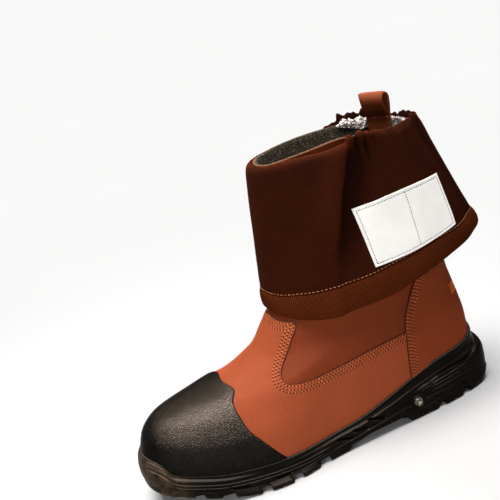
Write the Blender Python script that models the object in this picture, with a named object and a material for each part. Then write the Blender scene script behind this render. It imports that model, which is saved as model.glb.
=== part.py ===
"""Left pull-on safety boot with its fabric cuff turned down, built from named sizes.

Millimetres inside the script, metres in the scene. +X toe, +Y the boot's left (its outer side),
+Z up. Tables are measured from the heel of the outsole; the last step moves the origin to the
middle of the box at floor level.
"""

import math

import bpy
import numpy as np

MM = 0.001

# Main sizes
OUTSOLE_HEEL_X = -3.0
OUTSOLE_TOE_X = 309.5
WALL = 2.6
GAP = 0.3
AROUND = 52
UP_THE_UPPER = 21
LUG_DEPTH = 4.0
HEEL_LUG_DEPTH = 5.0
INSOLE_THICK = 4.0
CAP_THICK = 1.8
CUFF_THICK = 1.6
STRAP_THICK = 1.8
TOE_SWING = -7.5
WAIST_MEDIAL = -5.5
WAIST_LATERAL = 2.0
BALL_MEDIAL = 1.5

# One row per section of the last, from the feather line under the foot up to the collar.
# Each section is a ring from a back point to a front point with three half widths.
SECTION_COLUMNS = (
    "back_x back_z front_x front_z half_heel half_waist half_ball back_power front_power dip spring"
).split()
SECTIONS = np.array([
    (9.5, 39.0, 298.0, 19.0, 31.5, 34.0, 47.5, 3.70, 2.60, 15.0, 10.5),
    (6.5, 52.0, 303.0, 32.5, 35.0, 37.0, 50.5, 3.70, 2.60, 11.5, 10.5),
    (6.5, 67.5, 299.0, 48.5, 36.0, 38.0, 49.5, 3.60, 2.60, 8.0, 9.5),
    (8.0, 82.5, 287.0, 62.5, 35.0, 38.0, 45.0, 3.40, 2.55, 4.0, 8.5),
    (10.5, 98.0, 262.0, 70.5, 34.0, 38.0, 41.0, 3.20, 2.55, 1.0, 6.5),
    (13.0, 113.0, 230.0, 77.0, 33.0, 38.0, 38.0, 3.00, 2.50, 0.0, 4.5),
    (15.0, 129.0, 200.0, 91.5, 32.5, 36.5, 35.5, 2.80, 2.50, 0.0, 2.0),
    (17.5, 149.0, 174.5, 118.0, 32.5, 35.0, 34.0, 2.60, 2.50, 0.0, 0.0),
    (18.5, 169.0, 157.0, 141.5, 32.5, 35.0, 34.0, 2.40, 2.40, 0.0, 0.0),
    (17.5, 192.0, 149.0, 170.0, 32.5, 34.5, 34.0, 2.30, 2.30, 0.0, 0.0),
    (16.0, 216.0, 148.0, 207.0, 33.5, 35.5, 35.0, 2.20, 2.20, -1.0, 0.0),
    (14.5, 241.0, 150.5, 246.0, 35.0, 37.0, 36.5, 2.15, 2.15, -3.0, 0.0),
])

# Rim of the sole: turn is the place around the boot, 0 at the toe and 0.5 at the heel.
# height is the rim above the floor, spread is how far the sole stands out past the upper.
RIM_COLUMNS = "turn height spread".split()
RIM = np.array([
    (0.000, 47.0, 7.0),
    (0.045, 43.0, 6.5),
    (0.092, 31.5, 6.0),
    (0.140, 24.0, 5.0),
    (0.185, 21.5, 4.0),
    (0.230, 19.5, 4.5),
    (0.265, 21.5, 5.0),
    (0.305, 29.0, 5.0),
    (0.338, 37.0, 5.0),
    (0.380, 43.5, 5.0),
    (0.430, 45.5, 6.0),
    (0.465, 49.0, 8.0),
    (0.500, 53.0, 9.5),
])

# Height of the joint between the two soles and of the ground face, along the length.
SOLE_COLUMNS = "x joint ground".split()
SOLE = np.array([
    (OUTSOLE_HEEL_X, 15.0, 3.0),
    (10.0, 15.5, 0.0),
    (40.0, 16.0, 0.0),
    (85.0, 15.5, 0.0),
    (120.0, 12.5, 0.0),
    (150.0, 9.5, 0.0),
    (190.0, 7.6, 0.0),
    (223.0, 7.6, 0.0),
    (240.0, 9.2, 1.5),
    (252.0, 11.4, 4.0),
    (265.0, 14.4, 7.0),
    (276.0, 17.2, 10.0),
    (290.0, 21.2, 14.0),
    (OUTSOLE_TOE_X, 26.5, 19.5),
])

# Arch between heel and forefoot, and the grooves between lugs.
ARCH = np.array([(86.0, 0.0), (89.5, 6.0), (97.0, 8.6), (125.0, 8.2), (145.0, 5.6), (149.0, 0.0)])
GROOVE_COLUMNS = "x width slant depth".split()
GROOVES = np.array([
    (27.0, 5.0, 0.00, HEEL_LUG_DEPTH),
    (54.0, 5.0, 0.00, HEEL_LUG_DEPTH),
    (163.0, 7.0, 0.18, LUG_DEPTH),
    (187.0, 6.0, 0.22, LUG_DEPTH),
    (214.0, 6.0, 0.24, LUG_DEPTH),
    (247.0, 8.0, 0.20, LUG_DEPTH + 3.0),
    (272.0, 6.0, 0.14, LUG_DEPTH + 8.5),
])

# Rear edge of the toe cap: how far up the upper it reaches at each turn from the toe.
CAP_COLUMNS = "turn reach".split()
CAP_EDGE = np.array([
    (0.000, 0.452),
    (0.042, 0.448),
    (0.085, 0.420),
    (0.120, 0.365),
    (0.147, 0.290),
    (0.167, 0.215),
    (0.184, 0.140),
])
CAP_CLEAR = 0.6
CAP_ABOVE_RIM = 0.012
CAP_ACROSS = 29
CAP_BACK = 13

# Turned-down cuff: rings of the hanging sleeve from the shoulder of the fold to the hem.
CUFF_COLUMNS = "back_x back_z front_x front_z half sag".split()
CUFF = np.array([
    (3.0, 222.0, 160.5, 221.0, 44.5, 0.0),
    (-8.5, 187.0, 165.0, 187.0, 48.0, 4.0),
    (-18.0, 160.0, 169.5, 152.0, 51.0, 9.0),
    (-24.0, 141.5, 171.0, 129.0, 52.0, 13.0),
])
CUFF_POWER = 2.25
CUFF_STEPS = 2

# Pull loop on the inner side of the collar, near the back.
LOOP_TURN = 0.592
LOOP_WIDTH = 26.0
LOOP_RISE = 23.0
LOOP_TAIL = 12.0
LOOP_OPEN = 7.0
LOOP_LEAN = 0.10

COLOURS = {
    "outsole": (0.012, 0.012, 0.013, 1.0),
    "midsole": (0.016, 0.016, 0.017, 1.0),
    "insole": (0.10, 0.10, 0.10, 1.0),
    "upper": (0.36, 0.13, 0.055, 1.0),
    "toe_cap": (0.014, 0.014, 0.014, 1.0),
    "cuff": (0.050, 0.020, 0.013, 1.0),
    "pull_loop": (0.32, 0.11, 0.045, 1.0),
}


def smooth_table(xs, ys, x):
    """Value at x of a smooth curve through a table that never overshoots its rows."""
    xs = np.asarray(xs, float)
    ys = np.asarray(ys, float)
    x = np.clip(np.asarray(x, float), xs[0], xs[-1])
    step = np.diff(xs)
    rise = np.diff(ys) / step
    slope = np.empty_like(ys)
    slope[0] = rise[0]
    slope[-1] = rise[-1]
    same = rise[:-1] * rise[1:] > 0
    safe = np.where(same, rise[:-1] + rise[1:], 1.0)
    slope[1:-1] = np.where(same, 2.0 * rise[:-1] * rise[1:] / safe, 0.0)
    i = np.clip(np.searchsorted(xs, x, side="right") - 1, 0, len(step) - 1)
    s = (x - xs[i]) / step[i]
    low = (1 + 2 * s) * (1 - s) ** 2 * ys[i] + s * (1 - s) ** 2 * step[i] * slope[i]
    high = s * s * (3 - 2 * s) * ys[i + 1] + s * s * (s - 1) * step[i] * slope[i + 1]
    return low + high


def ease(a):
    a = np.clip(a, 0.0, 1.0)
    return a * a * (3 - 2 * a)


def last(turn, reach):
    """Point on the outside of the upper: turn goes round from the toe, reach from sole to collar."""
    turn, reach = np.broadcast_arrays(np.asarray(turn, float), np.asarray(reach, float))
    rows = np.linspace(0.0, 1.0, len(SECTIONS))
    size = {c: smooth_table(rows, SECTIONS[:, i], reach) for i, c in enumerate(SECTION_COLUMNS)}
    angle = 2 * np.pi * turn
    along = (1 + np.cos(angle)) / 2
    power = size["back_power"] + (size["front_power"] - size["back_power"]) * ease((along - 0.3) / 0.4)
    tip = np.maximum(1 - np.abs(np.cos(angle)) ** power, 0.0) ** (1 / power)
    medial = np.sin(angle) < 0
    low = 1 - np.clip(reach / 0.6, 0, 1)
    waist = size["half_waist"] + np.where(medial, WAIST_MEDIAL, WAIST_LATERAL) * low
    ball = size["half_ball"] + np.where(medial, BALL_MEDIAL, 0.0) * low
    half = size["half_heel"] + (waist - size["half_heel"]) * ease((along - 0.20) / 0.27)
    half = half + (ball - waist) * ease((along - 0.47) / 0.25)
    y = np.sign(np.sin(angle)) * half * tip
    y = y + TOE_SWING * np.clip(1 - reach / 0.5, 0, 1) * ease((along - 0.5) / 0.5)
    x = size["back_x"] + (size["front_x"] - size["back_x"]) * along
    z = size["back_z"] + (size["front_z"] - size["back_z"]) * along
    z = z - size["dip"] * 4 * along * (1 - along)
    z = z + size["spring"] * np.clip((along - 0.7) / 0.3, 0, 1) ** 2
    return np.stack([x, y, z], -1)


def outward(turn, reach):
    """Unit normal of the upper, pointing out."""
    turn, reach = np.broadcast_arrays(np.asarray(turn, float), np.asarray(reach, float))
    small = 0.004
    round_way = last(turn + small, reach) - last(turn - small, reach)
    up_way = last(turn, np.minimum(reach + small, 1.0)) - last(turn, np.maximum(reach - small, 0.0))
    normal = np.cross(round_way, up_way)
    return normal / np.linalg.norm(normal, axis=-1, keepdims=True)


def off_last(turn, reach, distance):
    return last(turn, reach) + np.asarray(distance, float)[..., None] * outward(turn, reach)


def plan_outward(ring):
    """Outward direction in plan of a closed ring of points that runs from +X towards +Y."""
    way = np.roll(ring, -1, axis=0) - np.roll(ring, 1, axis=0)
    out = np.stack([way[:, 1], -way[:, 0], np.zeros(len(ring))], -1)
    return out / np.linalg.norm(out, axis=1, keepdims=True)


def turns(count=AROUND):
    """Places round the boot, closer together at toe and heel."""
    even = np.arange(count) / count
    return even - 0.012 * np.sin(4 * np.pi * even)


def folded(turn):
    """The same place counted from the toe on either side."""
    turn = np.mod(turn, 1.0)
    return np.minimum(turn, 1 - turn)


def rim_value(turn, column):
    return smooth_table(RIM[:, 0], RIM[:, RIM_COLUMNS.index(column)], folded(turn))


def sole_value(x, column):
    return smooth_table(SOLE[:, 0], SOLE[:, SOLE_COLUMNS.index(column)], x)


def rim_reach(turn):
    """How far up the upper the sole's rim comes at each place."""
    levels = np.linspace(0.0, 0.35, 141)
    heights = rim_value(turn, "height")
    found = []
    for place, height in zip(turn, heights):
        line = last(place, levels)[:, 2]
        found.append(np.interp(height, np.maximum.accumulate(line), levels))
    return np.array(found)


def add_object(name, points, faces):
    mesh = bpy.data.meshes.new(name)
    mesh.from_pydata((np.asarray(points) * MM).tolist(), [], faces)
    mesh.update()
    made = bpy.data.objects.new(name, mesh)
    bpy.context.scene.collection.objects.link(made)
    if name in COLOURS:
        paint = bpy.data.materials.new(name)
        paint.use_nodes = True
        paint.node_tree.nodes["Principled BSDF"].inputs["Base Color"].default_value = COLOURS[name]
        made.data.materials.append(paint)
    return made


def band_faces(rows, count, first=0):
    """Quads between closed rings that are stored one after another."""
    faces = []
    for row in range(rows - 1):
        for i in range(count):
            j = (i + 1) % count
            a = first + row * count
            b = a + count
            faces.append((a + i, a + j, b + j, b + i))
    return faces


def cap_faces(first, count, flip):
    """Closes a ring with strips from one side of the boot to the other."""
    faces = []
    half = count // 2
    for i in range(half):
        left = (i, i + 1)
        right = ((count - i) % count, count - i - 1)
        loop = []
        for k in (left[0], left[1], right[1], right[0]):
            if first + k not in loop:
                loop.append(first + k)
        faces.append(tuple(loop[::-1]) if flip else tuple(loop))
    return faces


def ring_solid(name, rings):
    """Closed solid from rings listed from its lower middle outwards, up and back to its upper middle."""
    count = len(rings[0])
    faces = band_faces(len(rings), count)
    faces += cap_faces(0, count, True)
    faces += cap_faces((len(rings) - 1) * count, count, False)
    return add_object(name, np.concatenate(rings), faces)


def tube_solid(name, rings):
    """Closed solid whose section is a loop: the last ring joins back to the first."""
    count = len(rings[0])
    rows = len(rings)
    faces = band_faces(rows, count)
    end = (rows - 1) * count
    faces += [(end + i, end + (i + 1) % count, (i + 1) % count, i) for i in range(count)]
    return add_object(name, np.concatenate(rings), faces)


def patch_solid(name, outer, inner):
    """Closed shell from an outer and an inner grid of points of the same shape."""
    rows, cols = outer.shape[:2]
    points = np.concatenate([outer.reshape(-1, 3), inner.reshape(-1, 3)])
    shift = rows * cols

    def at(r, c):
        return r * cols + c

    faces = []
    for r in range(rows - 1):
        for c in range(cols - 1):
            quad = (at(r, c), at(r, c + 1), at(r + 1, c + 1), at(r + 1, c))
            faces.append(quad)
            faces.append(tuple(shift + k for k in quad[::-1]))
    border = [at(0, c) for c in range(cols)]
    border += [at(r, cols - 1) for r in range(1, rows)]
    border += [at(rows - 1, c) for c in range(cols - 2, -1, -1)]
    border += [at(r, 0) for r in range(rows - 2, 0, -1)]
    for a, b in zip(border, border[1:] + border[:1]):
        faces.append((b, a, shift + a, shift + b))
    return add_object(name, points, faces)


def make_upper():
    place = turns()
    levels = np.linspace(0.0, 1.0, UP_THE_UPPER)
    outer = [last(place, np.full(AROUND, v)) for v in levels]
    inner = [off_last(place, np.full(AROUND, v), np.full(AROUND, -WALL)) for v in levels[::-1]]
    return tube_solid("upper", outer + inner)


def sole_rings():
    """Rings the two soles share: the upper's foot, its rim line and the way out in plan."""
    place = turns()
    reach = rim_reach(place)
    rim = last(place, reach)
    out = plan_outward(rim)
    spread = rim_value(place, "spread")[:, None]
    return place, reach, rim, out, spread


def set_height(ring, height):
    ring = ring.copy()
    ring[:, 2] = height
    return ring


def make_midsole():
    place, reach, rim, out, spread = sole_rings()
    foot = last(place, np.zeros(AROUND)) + GAP * plan_outward(last(place, np.zeros(AROUND)))
    floor = set_height(foot, last(place, np.zeros(AROUND))[:, 2] - GAP)
    inside = [off_last(place, reach * k, np.full(AROUND, GAP)) for k in (0.35, 0.7, 1.0)]
    lip = off_last(place, reach, np.full(AROUND, GAP + 1.9)) - [0, 0, 0.6]
    joint_ring = rim + 0.78 * spread * out
    joint = sole_value(joint_ring[:, 0], "joint") + GAP / 2
    fall = rim[:, 2] - joint
    shoulder = set_height(rim + 0.62 * spread * out, rim[:, 2] - 0.22 * fall)
    wall = set_height(rim + 0.92 * spread * out, rim[:, 2] - 0.62 * fall)
    bottom = set_height(joint_ring, joint)
    return ring_solid("midsole", [bottom, wall, shoulder, lip] + inside[::-1] + [floor])


def make_outsole():
    place, reach, rim, out, spread = sole_rings()
    top = rim + 0.78 * spread * out
    top = set_height(top, sole_value(top[:, 0], "joint") - GAP / 2)
    wide = rim + spread * out
    joint = sole_value(wide[:, 0], "joint")
    ground = sole_value(wide[:, 0], "ground")
    bulge = set_height(wide, ground + 0.72 * (joint - ground))
    low = set_height(wide - 0.3 * out, ground + 0.30 * (joint - ground))
    edge = wide - 1.6 * out
    edge = set_height(edge, sole_value(edge[:, 0], "ground"))
    body = ring_solid("outsole", [edge, low, bulge, top])
    cutters = [arch_cutter()] + [groove_cutter(row, i) for i, row in enumerate(GROOVES)]
    for cutter in cutters:
        cut = body.modifiers.new(cutter.name, "BOOLEAN")
        cut.operation = "DIFFERENCE"
        cut.solver = "EXACT"
        cut.object = cutter
    return body


def prism(name, outline, bottom, top):
    """Upright prism over a plan outline, used to cut with and hidden."""
    count = len(outline)
    low = [(x, y, bottom) for x, y in outline]
    high = [(x, y, top) for x, y in outline]
    faces = [tuple(range(count))[::-1], tuple(range(count, 2 * count))]
    faces += [(i, (i + 1) % count, count + (i + 1) % count, count + i) for i in range(count)]
    cutter = add_object(name, low + high, faces)
    cutter.hide_render = True
    cutter.display_type = "WIRE"
    return cutter


def arch_cutter():
    """The hollow under the waist, as a side profile drawn across the sole."""
    wide = 80.0
    profile = [(ARCH[0, 0], -5.0)] + [tuple(p) for p in ARCH] + [(ARCH[-1, 0], -5.0)]
    count = len(profile)
    left = [(x, wide, z) for x, z in profile]
    right = [(x, -wide, z) for x, z in profile]
    faces = [tuple(range(count)), tuple(range(count, 2 * count))[::-1]]
    faces += [((i + 1) % count, i, count + i, count + (i + 1) % count) for i in range(count)]
    cutter = add_object("arch_cut", left + right, faces)
    cutter.hide_render = True
    cutter.display_type = "WIRE"
    return cutter


def groove_cutter(row, number):
    """A groove across the sole that bends forward at both ends."""
    size = dict(zip(GROOVE_COLUMNS, row))
    reach = 80.0
    bend = size["slant"] * reach
    front = size["x"] + size["width"] / 2
    back = size["x"] - size["width"] / 2
    outline = [(back + bend, reach), (back, 0.0), (back + bend, -reach)]
    outline += [(front + bend, -reach), (front, 0.0), (front + bend, reach)]
    return prism("groove_cut_%d" % number, outline, -5.0, size["depth"])


def make_insole():
    place = turns()
    foot = off_last(place, np.zeros(AROUND), np.full(AROUND, -WALL))
    ring = foot - (GAP + 0.3) * plan_outward(foot)
    height = last(place, np.zeros(AROUND))[:, 2]
    low = set_height(ring, height)
    high = set_height(ring, height + INSOLE_THICK)
    return ring_solid("insole", [low, high])


def make_toe_cap():
    table = dict(zip(CAP_COLUMNS, CAP_EDGE.T))
    edge = table["turn"][-1]
    across = np.linspace(-edge, edge, CAP_ACROSS)
    low = rim_reach(across) + CAP_ABOVE_RIM
    high = smooth_table(table["turn"], table["reach"], np.abs(across))
    share = np.linspace(0.0, 1.0, CAP_BACK)[:, None]
    reach = low + (high - low) * share
    turn = np.broadcast_to(across, reach.shape)
    outer = off_last(turn, reach, np.full(reach.shape, CAP_CLEAR + CAP_THICK))
    inner = off_last(turn, reach, np.full(reach.shape, CAP_CLEAR))
    return patch_solid("toe_cap", outer, inner)


def cuff_ring(place, row):
    size = dict(zip(CUFF_COLUMNS, row))
    angle = 2 * np.pi * place
    along = (1 + np.cos(angle)) / 2
    tip = np.maximum(1 - np.abs(np.cos(angle)) ** CUFF_POWER, 0.0) ** (1 / CUFF_POWER)
    x = size["back_x"] + (size["front_x"] - size["back_x"]) * along
    z = size["back_z"] + (size["front_z"] - size["back_z"]) * along
    z = z - size["sag"] * 4 * along * (1 - along)
    return np.stack([x, np.sign(np.sin(angle)) * size["half"] * tip, z], -1)


def make_cuff():
    place = turns()
    full = np.full(AROUND, 1.0)
    half = CUFF_THICK / 2
    collar = last(place, full)
    out = plan_outward(collar)
    rows = [
        off_last(place, 0.955 * full, (GAP + half) * full),
        off_last(place, 0.980 * full, (GAP + half + 0.3) * full),
        collar + 3.4 * out - [0, 0, 0.6],
        collar + 6.4 * out - [0, 0, 4.0],
    ]
    rows += [cuff_ring(place, row) for row in CUFF]
    rows = np.array(rows)
    steps = np.arange(len(rows), dtype=float)
    fine = np.concatenate([np.linspace(a, a + 1, CUFF_STEPS, endpoint=False) for a in steps[:-1]])
    fine = np.append(fine, steps[-1])
    sheet = np.empty((len(fine),) + rows.shape[1:])
    for i in range(AROUND):
        for k in range(3):
            sheet[:, i, k] = smooth_table(steps, rows[:, i, k], fine)
    round_way = np.roll(sheet, -1, axis=1) - np.roll(sheet, 1, axis=1)
    down_way = np.gradient(sheet, axis=0)
    normal = np.cross(down_way, round_way)
    normal = normal / np.linalg.norm(normal, axis=-1, keepdims=True)
    outer = sheet + half * normal
    inner = sheet - half * normal
    return tube_solid("cuff", list(outer[::-1]) + list(inner))


def make_pull_loop():
    cols = 6
    ring = off_last(np.linspace(0, 1, 400, endpoint=False), np.ones(400), np.full(400, -WALL - GAP))
    walk = np.concatenate([[0.0], np.cumsum(np.linalg.norm(np.diff(ring, axis=0), axis=1))])[:400]
    middle = np.interp(LOOP_TURN, np.arange(400) / 400, walk)
    spots = middle + np.linspace(-0.5, 0.5, cols) * LOOP_WIDTH
    place = np.interp(spots, walk, np.arange(400) / 400)
    base = off_last(place, np.ones(cols), np.full(cols, -WALL - GAP - STRAP_THICK / 2))
    inward = -outward(place, np.ones(cols))
    inward[:, 2] = 0.0
    inward = inward / np.linalg.norm(inward, axis=1, keepdims=True)
    up = np.array([0.0, 0.0, 1.0])
    arc = LOOP_OPEN / 2 + STRAP_THICK / 2
    path = [(0.0, -LOOP_TAIL), (0.0, -LOOP_TAIL / 2), (0.0, 0.0), (0.0, (LOOP_RISE - arc) / 2)]
    for angle in np.linspace(0.0, math.pi, 9):
        path.append((arc * (1 - math.cos(angle)), LOOP_RISE - arc + arc * math.sin(angle)))
    path += [(2 * arc * 0.93, (LOOP_RISE - arc) / 2), (arc * 1.3, 0.0)]
    path += [(STRAP_THICK + 0.9, -LOOP_TAIL / 2), (STRAP_THICK + 0.6, -LOOP_TAIL)]
    path = np.array(path)
    way = np.gradient(path, axis=0)
    side = np.stack([-way[:, 1], way[:, 0]], -1)
    side = side / np.linalg.norm(side, axis=1, keepdims=True)
    outer = path + side * STRAP_THICK / 2
    inner = path - side * STRAP_THICK / 2

    def grid(line):
        return np.array([base + inward * (a + LOOP_LEAN * max(-b, 0.0)) + up * b for a, b in line])

    return patch_solid("pull_loop", grid(outer), grid(inner))


def clear_scene():
    for old in list(bpy.data.objects):
        bpy.data.objects.remove(old, do_unlink=True)


def centre_on_floor(pieces):
    """Moves everything so the origin is the middle of the box, on the floor."""
    spots = np.array([v.co for piece in pieces for v in piece.data.vertices])
    middle = (spots.min(axis=0) + spots.max(axis=0)) / 2
    for made in bpy.data.objects:
        for v in made.data.vertices:
            v.co.x -= middle[0]
            v.co.y -= middle[1]
        made.data.update()
    print("moved by", [round(float(m) * 1000, 3) for m in middle[:2]])


def main():
    clear_scene()
    pieces = [
        make_outsole(),
        make_midsole(),
        make_insole(),
        make_upper(),
        make_toe_cap(),
        make_cuff(),
        make_pull_loop(),
    ]
    centre_on_floor(pieces)


main()
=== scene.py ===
"""Left pull-on safety boot with its woven cuff turned down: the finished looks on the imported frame.

Sizes are in millimetres from the heel of the outsole, as a last maker measures; pieces are moved to
the frame's own origin and turned to metres when their meshes are made. +X toe, +Y outer side, +Z up.
"""

import math

import bmesh
import bpy
import numpy as np
from mathutils import Matrix, Vector


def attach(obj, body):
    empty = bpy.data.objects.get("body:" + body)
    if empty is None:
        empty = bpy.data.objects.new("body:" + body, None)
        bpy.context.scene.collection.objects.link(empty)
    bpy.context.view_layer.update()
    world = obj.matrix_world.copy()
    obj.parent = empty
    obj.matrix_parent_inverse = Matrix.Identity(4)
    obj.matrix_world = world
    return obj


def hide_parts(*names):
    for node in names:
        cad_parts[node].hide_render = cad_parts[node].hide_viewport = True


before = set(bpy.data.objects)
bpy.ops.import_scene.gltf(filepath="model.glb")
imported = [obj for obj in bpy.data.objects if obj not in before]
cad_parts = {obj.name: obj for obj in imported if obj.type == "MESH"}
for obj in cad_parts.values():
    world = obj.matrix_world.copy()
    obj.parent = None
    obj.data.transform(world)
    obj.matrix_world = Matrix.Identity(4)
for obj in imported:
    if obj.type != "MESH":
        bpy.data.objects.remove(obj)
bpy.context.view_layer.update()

MM = 0.001
HEEL_TO_ORIGIN = np.array([142.425, -1.185, 0.0])
SEED = 7

# Camera, in metres: where it stands, what it looks at, how far it is rolled, and its lens
CAMERA_STANDS = (0.2469, 0.7649, 0.4490)
CAMERA_AIM = (0.0214, -0.0319, 0.1702)
CAMERA_ROLL = -15.4
CAMERA_LENS = 75.2

# The last, one row per section from the feather line up to the collar
SECTION_COLUMNS = (
    "back_x back_z front_x front_z half_heel half_waist half_ball back_power front_power dip spring"
).split()
SECTIONS = np.array([
    (9.5, 39.0, 298.0, 19.0, 31.5, 34.0, 47.5, 3.70, 2.60, 15.0, 10.5),
    (6.5, 52.0, 303.0, 32.5, 35.0, 37.0, 50.5, 3.70, 2.60, 11.5, 10.5),
    (6.5, 67.5, 299.0, 48.5, 36.0, 38.0, 49.5, 3.60, 2.60, 8.0, 9.5),
    (8.0, 82.5, 287.0, 62.5, 35.0, 38.0, 45.0, 3.40, 2.55, 4.0, 8.5),
    (10.5, 98.0, 262.0, 70.5, 34.0, 38.0, 41.0, 3.20, 2.55, 1.0, 6.5),
    (13.0, 113.0, 230.0, 77.0, 33.0, 38.0, 38.0, 3.00, 2.50, 0.0, 4.5),
    (15.0, 129.0, 200.0, 91.5, 32.5, 36.5, 35.5, 2.80, 2.50, 0.0, 2.0),
    (17.5, 149.0, 174.5, 118.0, 32.5, 35.0, 34.0, 2.60, 2.50, 0.0, 0.0),
    (18.5, 169.0, 157.0, 141.5, 32.5, 35.0, 34.0, 2.40, 2.40, 0.0, 0.0),
    (17.5, 192.0, 149.0, 170.0, 32.5, 34.5, 34.0, 2.30, 2.30, 0.0, 0.0),
    (16.0, 216.0, 148.0, 207.0, 33.5, 35.5, 35.0, 2.20, 2.20, -1.0, 0.0),
    (14.5, 241.0, 150.5, 246.0, 35.0, 37.0, 36.5, 2.15, 2.15, -3.0, 0.0),
])
TOE_SWING = -7.5
WAIST_MEDIAL = -5.5
WAIST_LATERAL = 2.0
BALL_MEDIAL = 1.5
COLLAR_RISE_PER_REACH = 350.0

# Rise of the collar's edge round the boot: turn and height
COLLAR_WAVE = np.array([
    (0.000, 0.0), (0.050, 0.0), (0.090, 1.1), (0.130, 2.7), (0.180, 4.7), (0.227, 6.3), (0.250, 5.5),
    (0.270, 3.6), (0.300, 2.5), (0.340, 1.5), (0.380, 0.8), (0.420, 0.0), (1.000, 0.0),
])

# Sole: rim line round the boot, then joint and ground heights along the length
RIM_COLUMNS = "turn height spread".split()
RIM = np.array([
    (0.000, 47.4, 7.4), (0.030, 46.8, 7.2), (0.046, 44.8, 6.9), (0.056, 41.8, 6.6), (0.063, 36.6, 6.4),
    (0.070, 33.8, 6.2), (0.084, 31.6, 6.1),
    (0.105, 29.0, 5.7), (0.140, 24.2, 5.0), (0.185, 21.5, 4.2), (0.230, 19.5, 4.6), (0.265, 21.5, 5.0),
    (0.305, 29.0, 5.0), (0.338, 37.0, 5.0), (0.380, 43.5, 5.0), (0.430, 45.5, 6.0), (0.465, 49.0, 8.0),
    (0.500, 53.0, 9.5),
])
SOLE_COLUMNS = "x joint ground".split()
SOLE = np.array([
    (-3.0, 15.0, 3.0), (10.0, 15.5, 0.0), (40.0, 16.0, 0.0), (85.0, 15.5, 0.0), (120.0, 12.5, 0.0),
    (150.0, 9.5, 0.0), (190.0, 7.6, 0.0), (223.0, 7.6, 0.0), (240.0, 9.2, 1.5), (252.0, 11.4, 4.0),
    (265.0, 14.4, 7.0), (276.0, 17.2, 10.0), (290.0, 21.2, 14.0), (309.5, 26.5, 19.5),
])
ARCH = np.array([(86.0, 0.0), (89.5, 6.0), (97.0, 8.6), (125.0, 8.2), (145.0, 5.6), (149.0, 0.0)])
GROOVE_COLUMNS = "x width slant depth".split()
GROOVES = np.array([
    (27.0, 5.0, 0.00, 5.0), (54.0, 5.0, 0.00, 5.0), (163.0, 7.0, 0.18, 4.0), (187.0, 6.0, 0.22, 4.0),
    (214.0, 6.0, 0.24, 4.0), (247.0, 8.0, 0.20, 7.0), (272.0, 6.0, 0.14, 12.5),
])
SIPES = np.array([
    (40.5, 1.3, 0.00, 1.8), (68.0, 1.3, 0.00, 1.8), (175.0, 1.3, 0.20, 1.8), (200.5, 1.3, 0.23, 1.8),
    (229.0, 1.3, 0.22, 2.4),
])

# Panel edges as turn and reach on the last, from the middle of the toe or heel outwards
VAMP_EDGE = np.array([
    (0.000, 0.655), (0.030, 0.650), (0.054, 0.6444), (0.082, 0.638), (0.102, 0.631), (0.1120, 0.618),
    (0.1138, 0.595), (0.1165, 0.568), (0.1245, 0.530), (0.1375, 0.489), (0.151, 0.453), (0.167, 0.417),
    (0.182, 0.378), (0.1985, 0.348), (0.218, 0.3245), (0.247, 0.3130), (0.288, 0.3100), (0.338, 0.2917),
    (0.352, 0.285), (0.354, 0.240), (0.353, 0.100), (0.352, 0.020),
])
COUNTER_EDGE = np.array([
    (0.500, 0.494), (0.471, 0.4986), (0.430, 0.516), (0.392, 0.5333), (0.372, 0.540), (0.357, 0.5347),
    (0.350, 0.515), (0.3451, 0.487), (0.3415, 0.440), (0.3392, 0.383), (0.3385, 0.268), (0.3372, 0.190),
    (0.3368, 0.097), (0.3368, 0.020),
])
CAP_EDGE = np.array([
    (0.000, 0.4685), (0.024, 0.468), (0.0444, 0.463), (0.066, 0.450), (0.083, 0.432), (0.0965, 0.410),
    (0.118, 0.366), (0.142, 0.308), (0.1625, 0.228), (0.1847, 0.133), (0.1972, 0.058), (0.2005, 0.030),
])
STITCH_ROWS = (2.0, 4.6, 7.2)
VAMP_LIFT = 1.35
COUNTER_LIFT = 1.5
CAP_UNDER = 1.45
CAP_LIFT = 2.7
LEATHER_THICK = 1.5
LINING_DEPTH = 2.45
WALL = 2.6

# Beads of thread, and the dark flat beads between them that stand for the needle holes: painted shade in the
# holes
BEAD_COLUMNS = "pitch length width height".split()
SEAM_BEAD = (2.9, 1.9, 1.15, 0.80)
HOLE_BEAD = (2.9, 1.5, 1.55, 0.62)
HEM_BEAD = (3.4, 2.4, 0.65, 0.55)
LABEL_BEAD = (2.0, 1.4, 0.80, 0.45)
LOOP_BEAD = (2.4, 1.8, 0.75, 0.60)
TACK_BEAD = (1.0, 1.9, 0.70, 0.70)

# Soft creases in the leather: from one place to another, how deep and how wide
CREASE_COLUMNS = "turn_a reach_a turn_b reach_b depth width".split()
CREASES = np.array([
    (0.060, 0.560, 0.155, 0.545, 0.7, 9.0),
    (0.940, 0.570, 0.845, 0.540, 0.8, 9.0),
    (0.985, 0.500, 0.895, 0.440, 0.6, 8.0),
    (0.170, 0.560, 0.285, 0.470, 0.9, 13.0),
    (0.830, 0.560, 0.715, 0.480, 0.9, 13.0),
    (0.205, 0.235, 0.150, 0.330, 0.6, 12.0),
    (0.795, 0.235, 0.850, 0.335, 0.7, 12.0),
    (0.255, 0.185, 0.305, 0.120, 0.5, 12.0),
    (0.360, 0.600, 0.430, 0.570, 0.6, 10.0),
    (0.640, 0.600, 0.570, 0.580, 0.6, 10.0),
])

# Cuff: rings of the hanging sleeve, then places along it that follow the photo
CUFF_COLUMNS = "back_x back_z front_x front_z half sag".split()
CUFF = np.array([
    (3.0, 222.0, 160.5, 221.0, 44.5, 0.0),
    (-8.5, 187.0, 165.0, 187.0, 48.0, 4.0),
    (-18.0, 160.0, 169.5, 152.0, 51.0, 9.0),
    (-24.0, 141.5, 171.0, 129.0, 52.0, 13.0),
])
CUFF_POWER = 2.25
CUFF_THICK = 1.6

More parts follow.
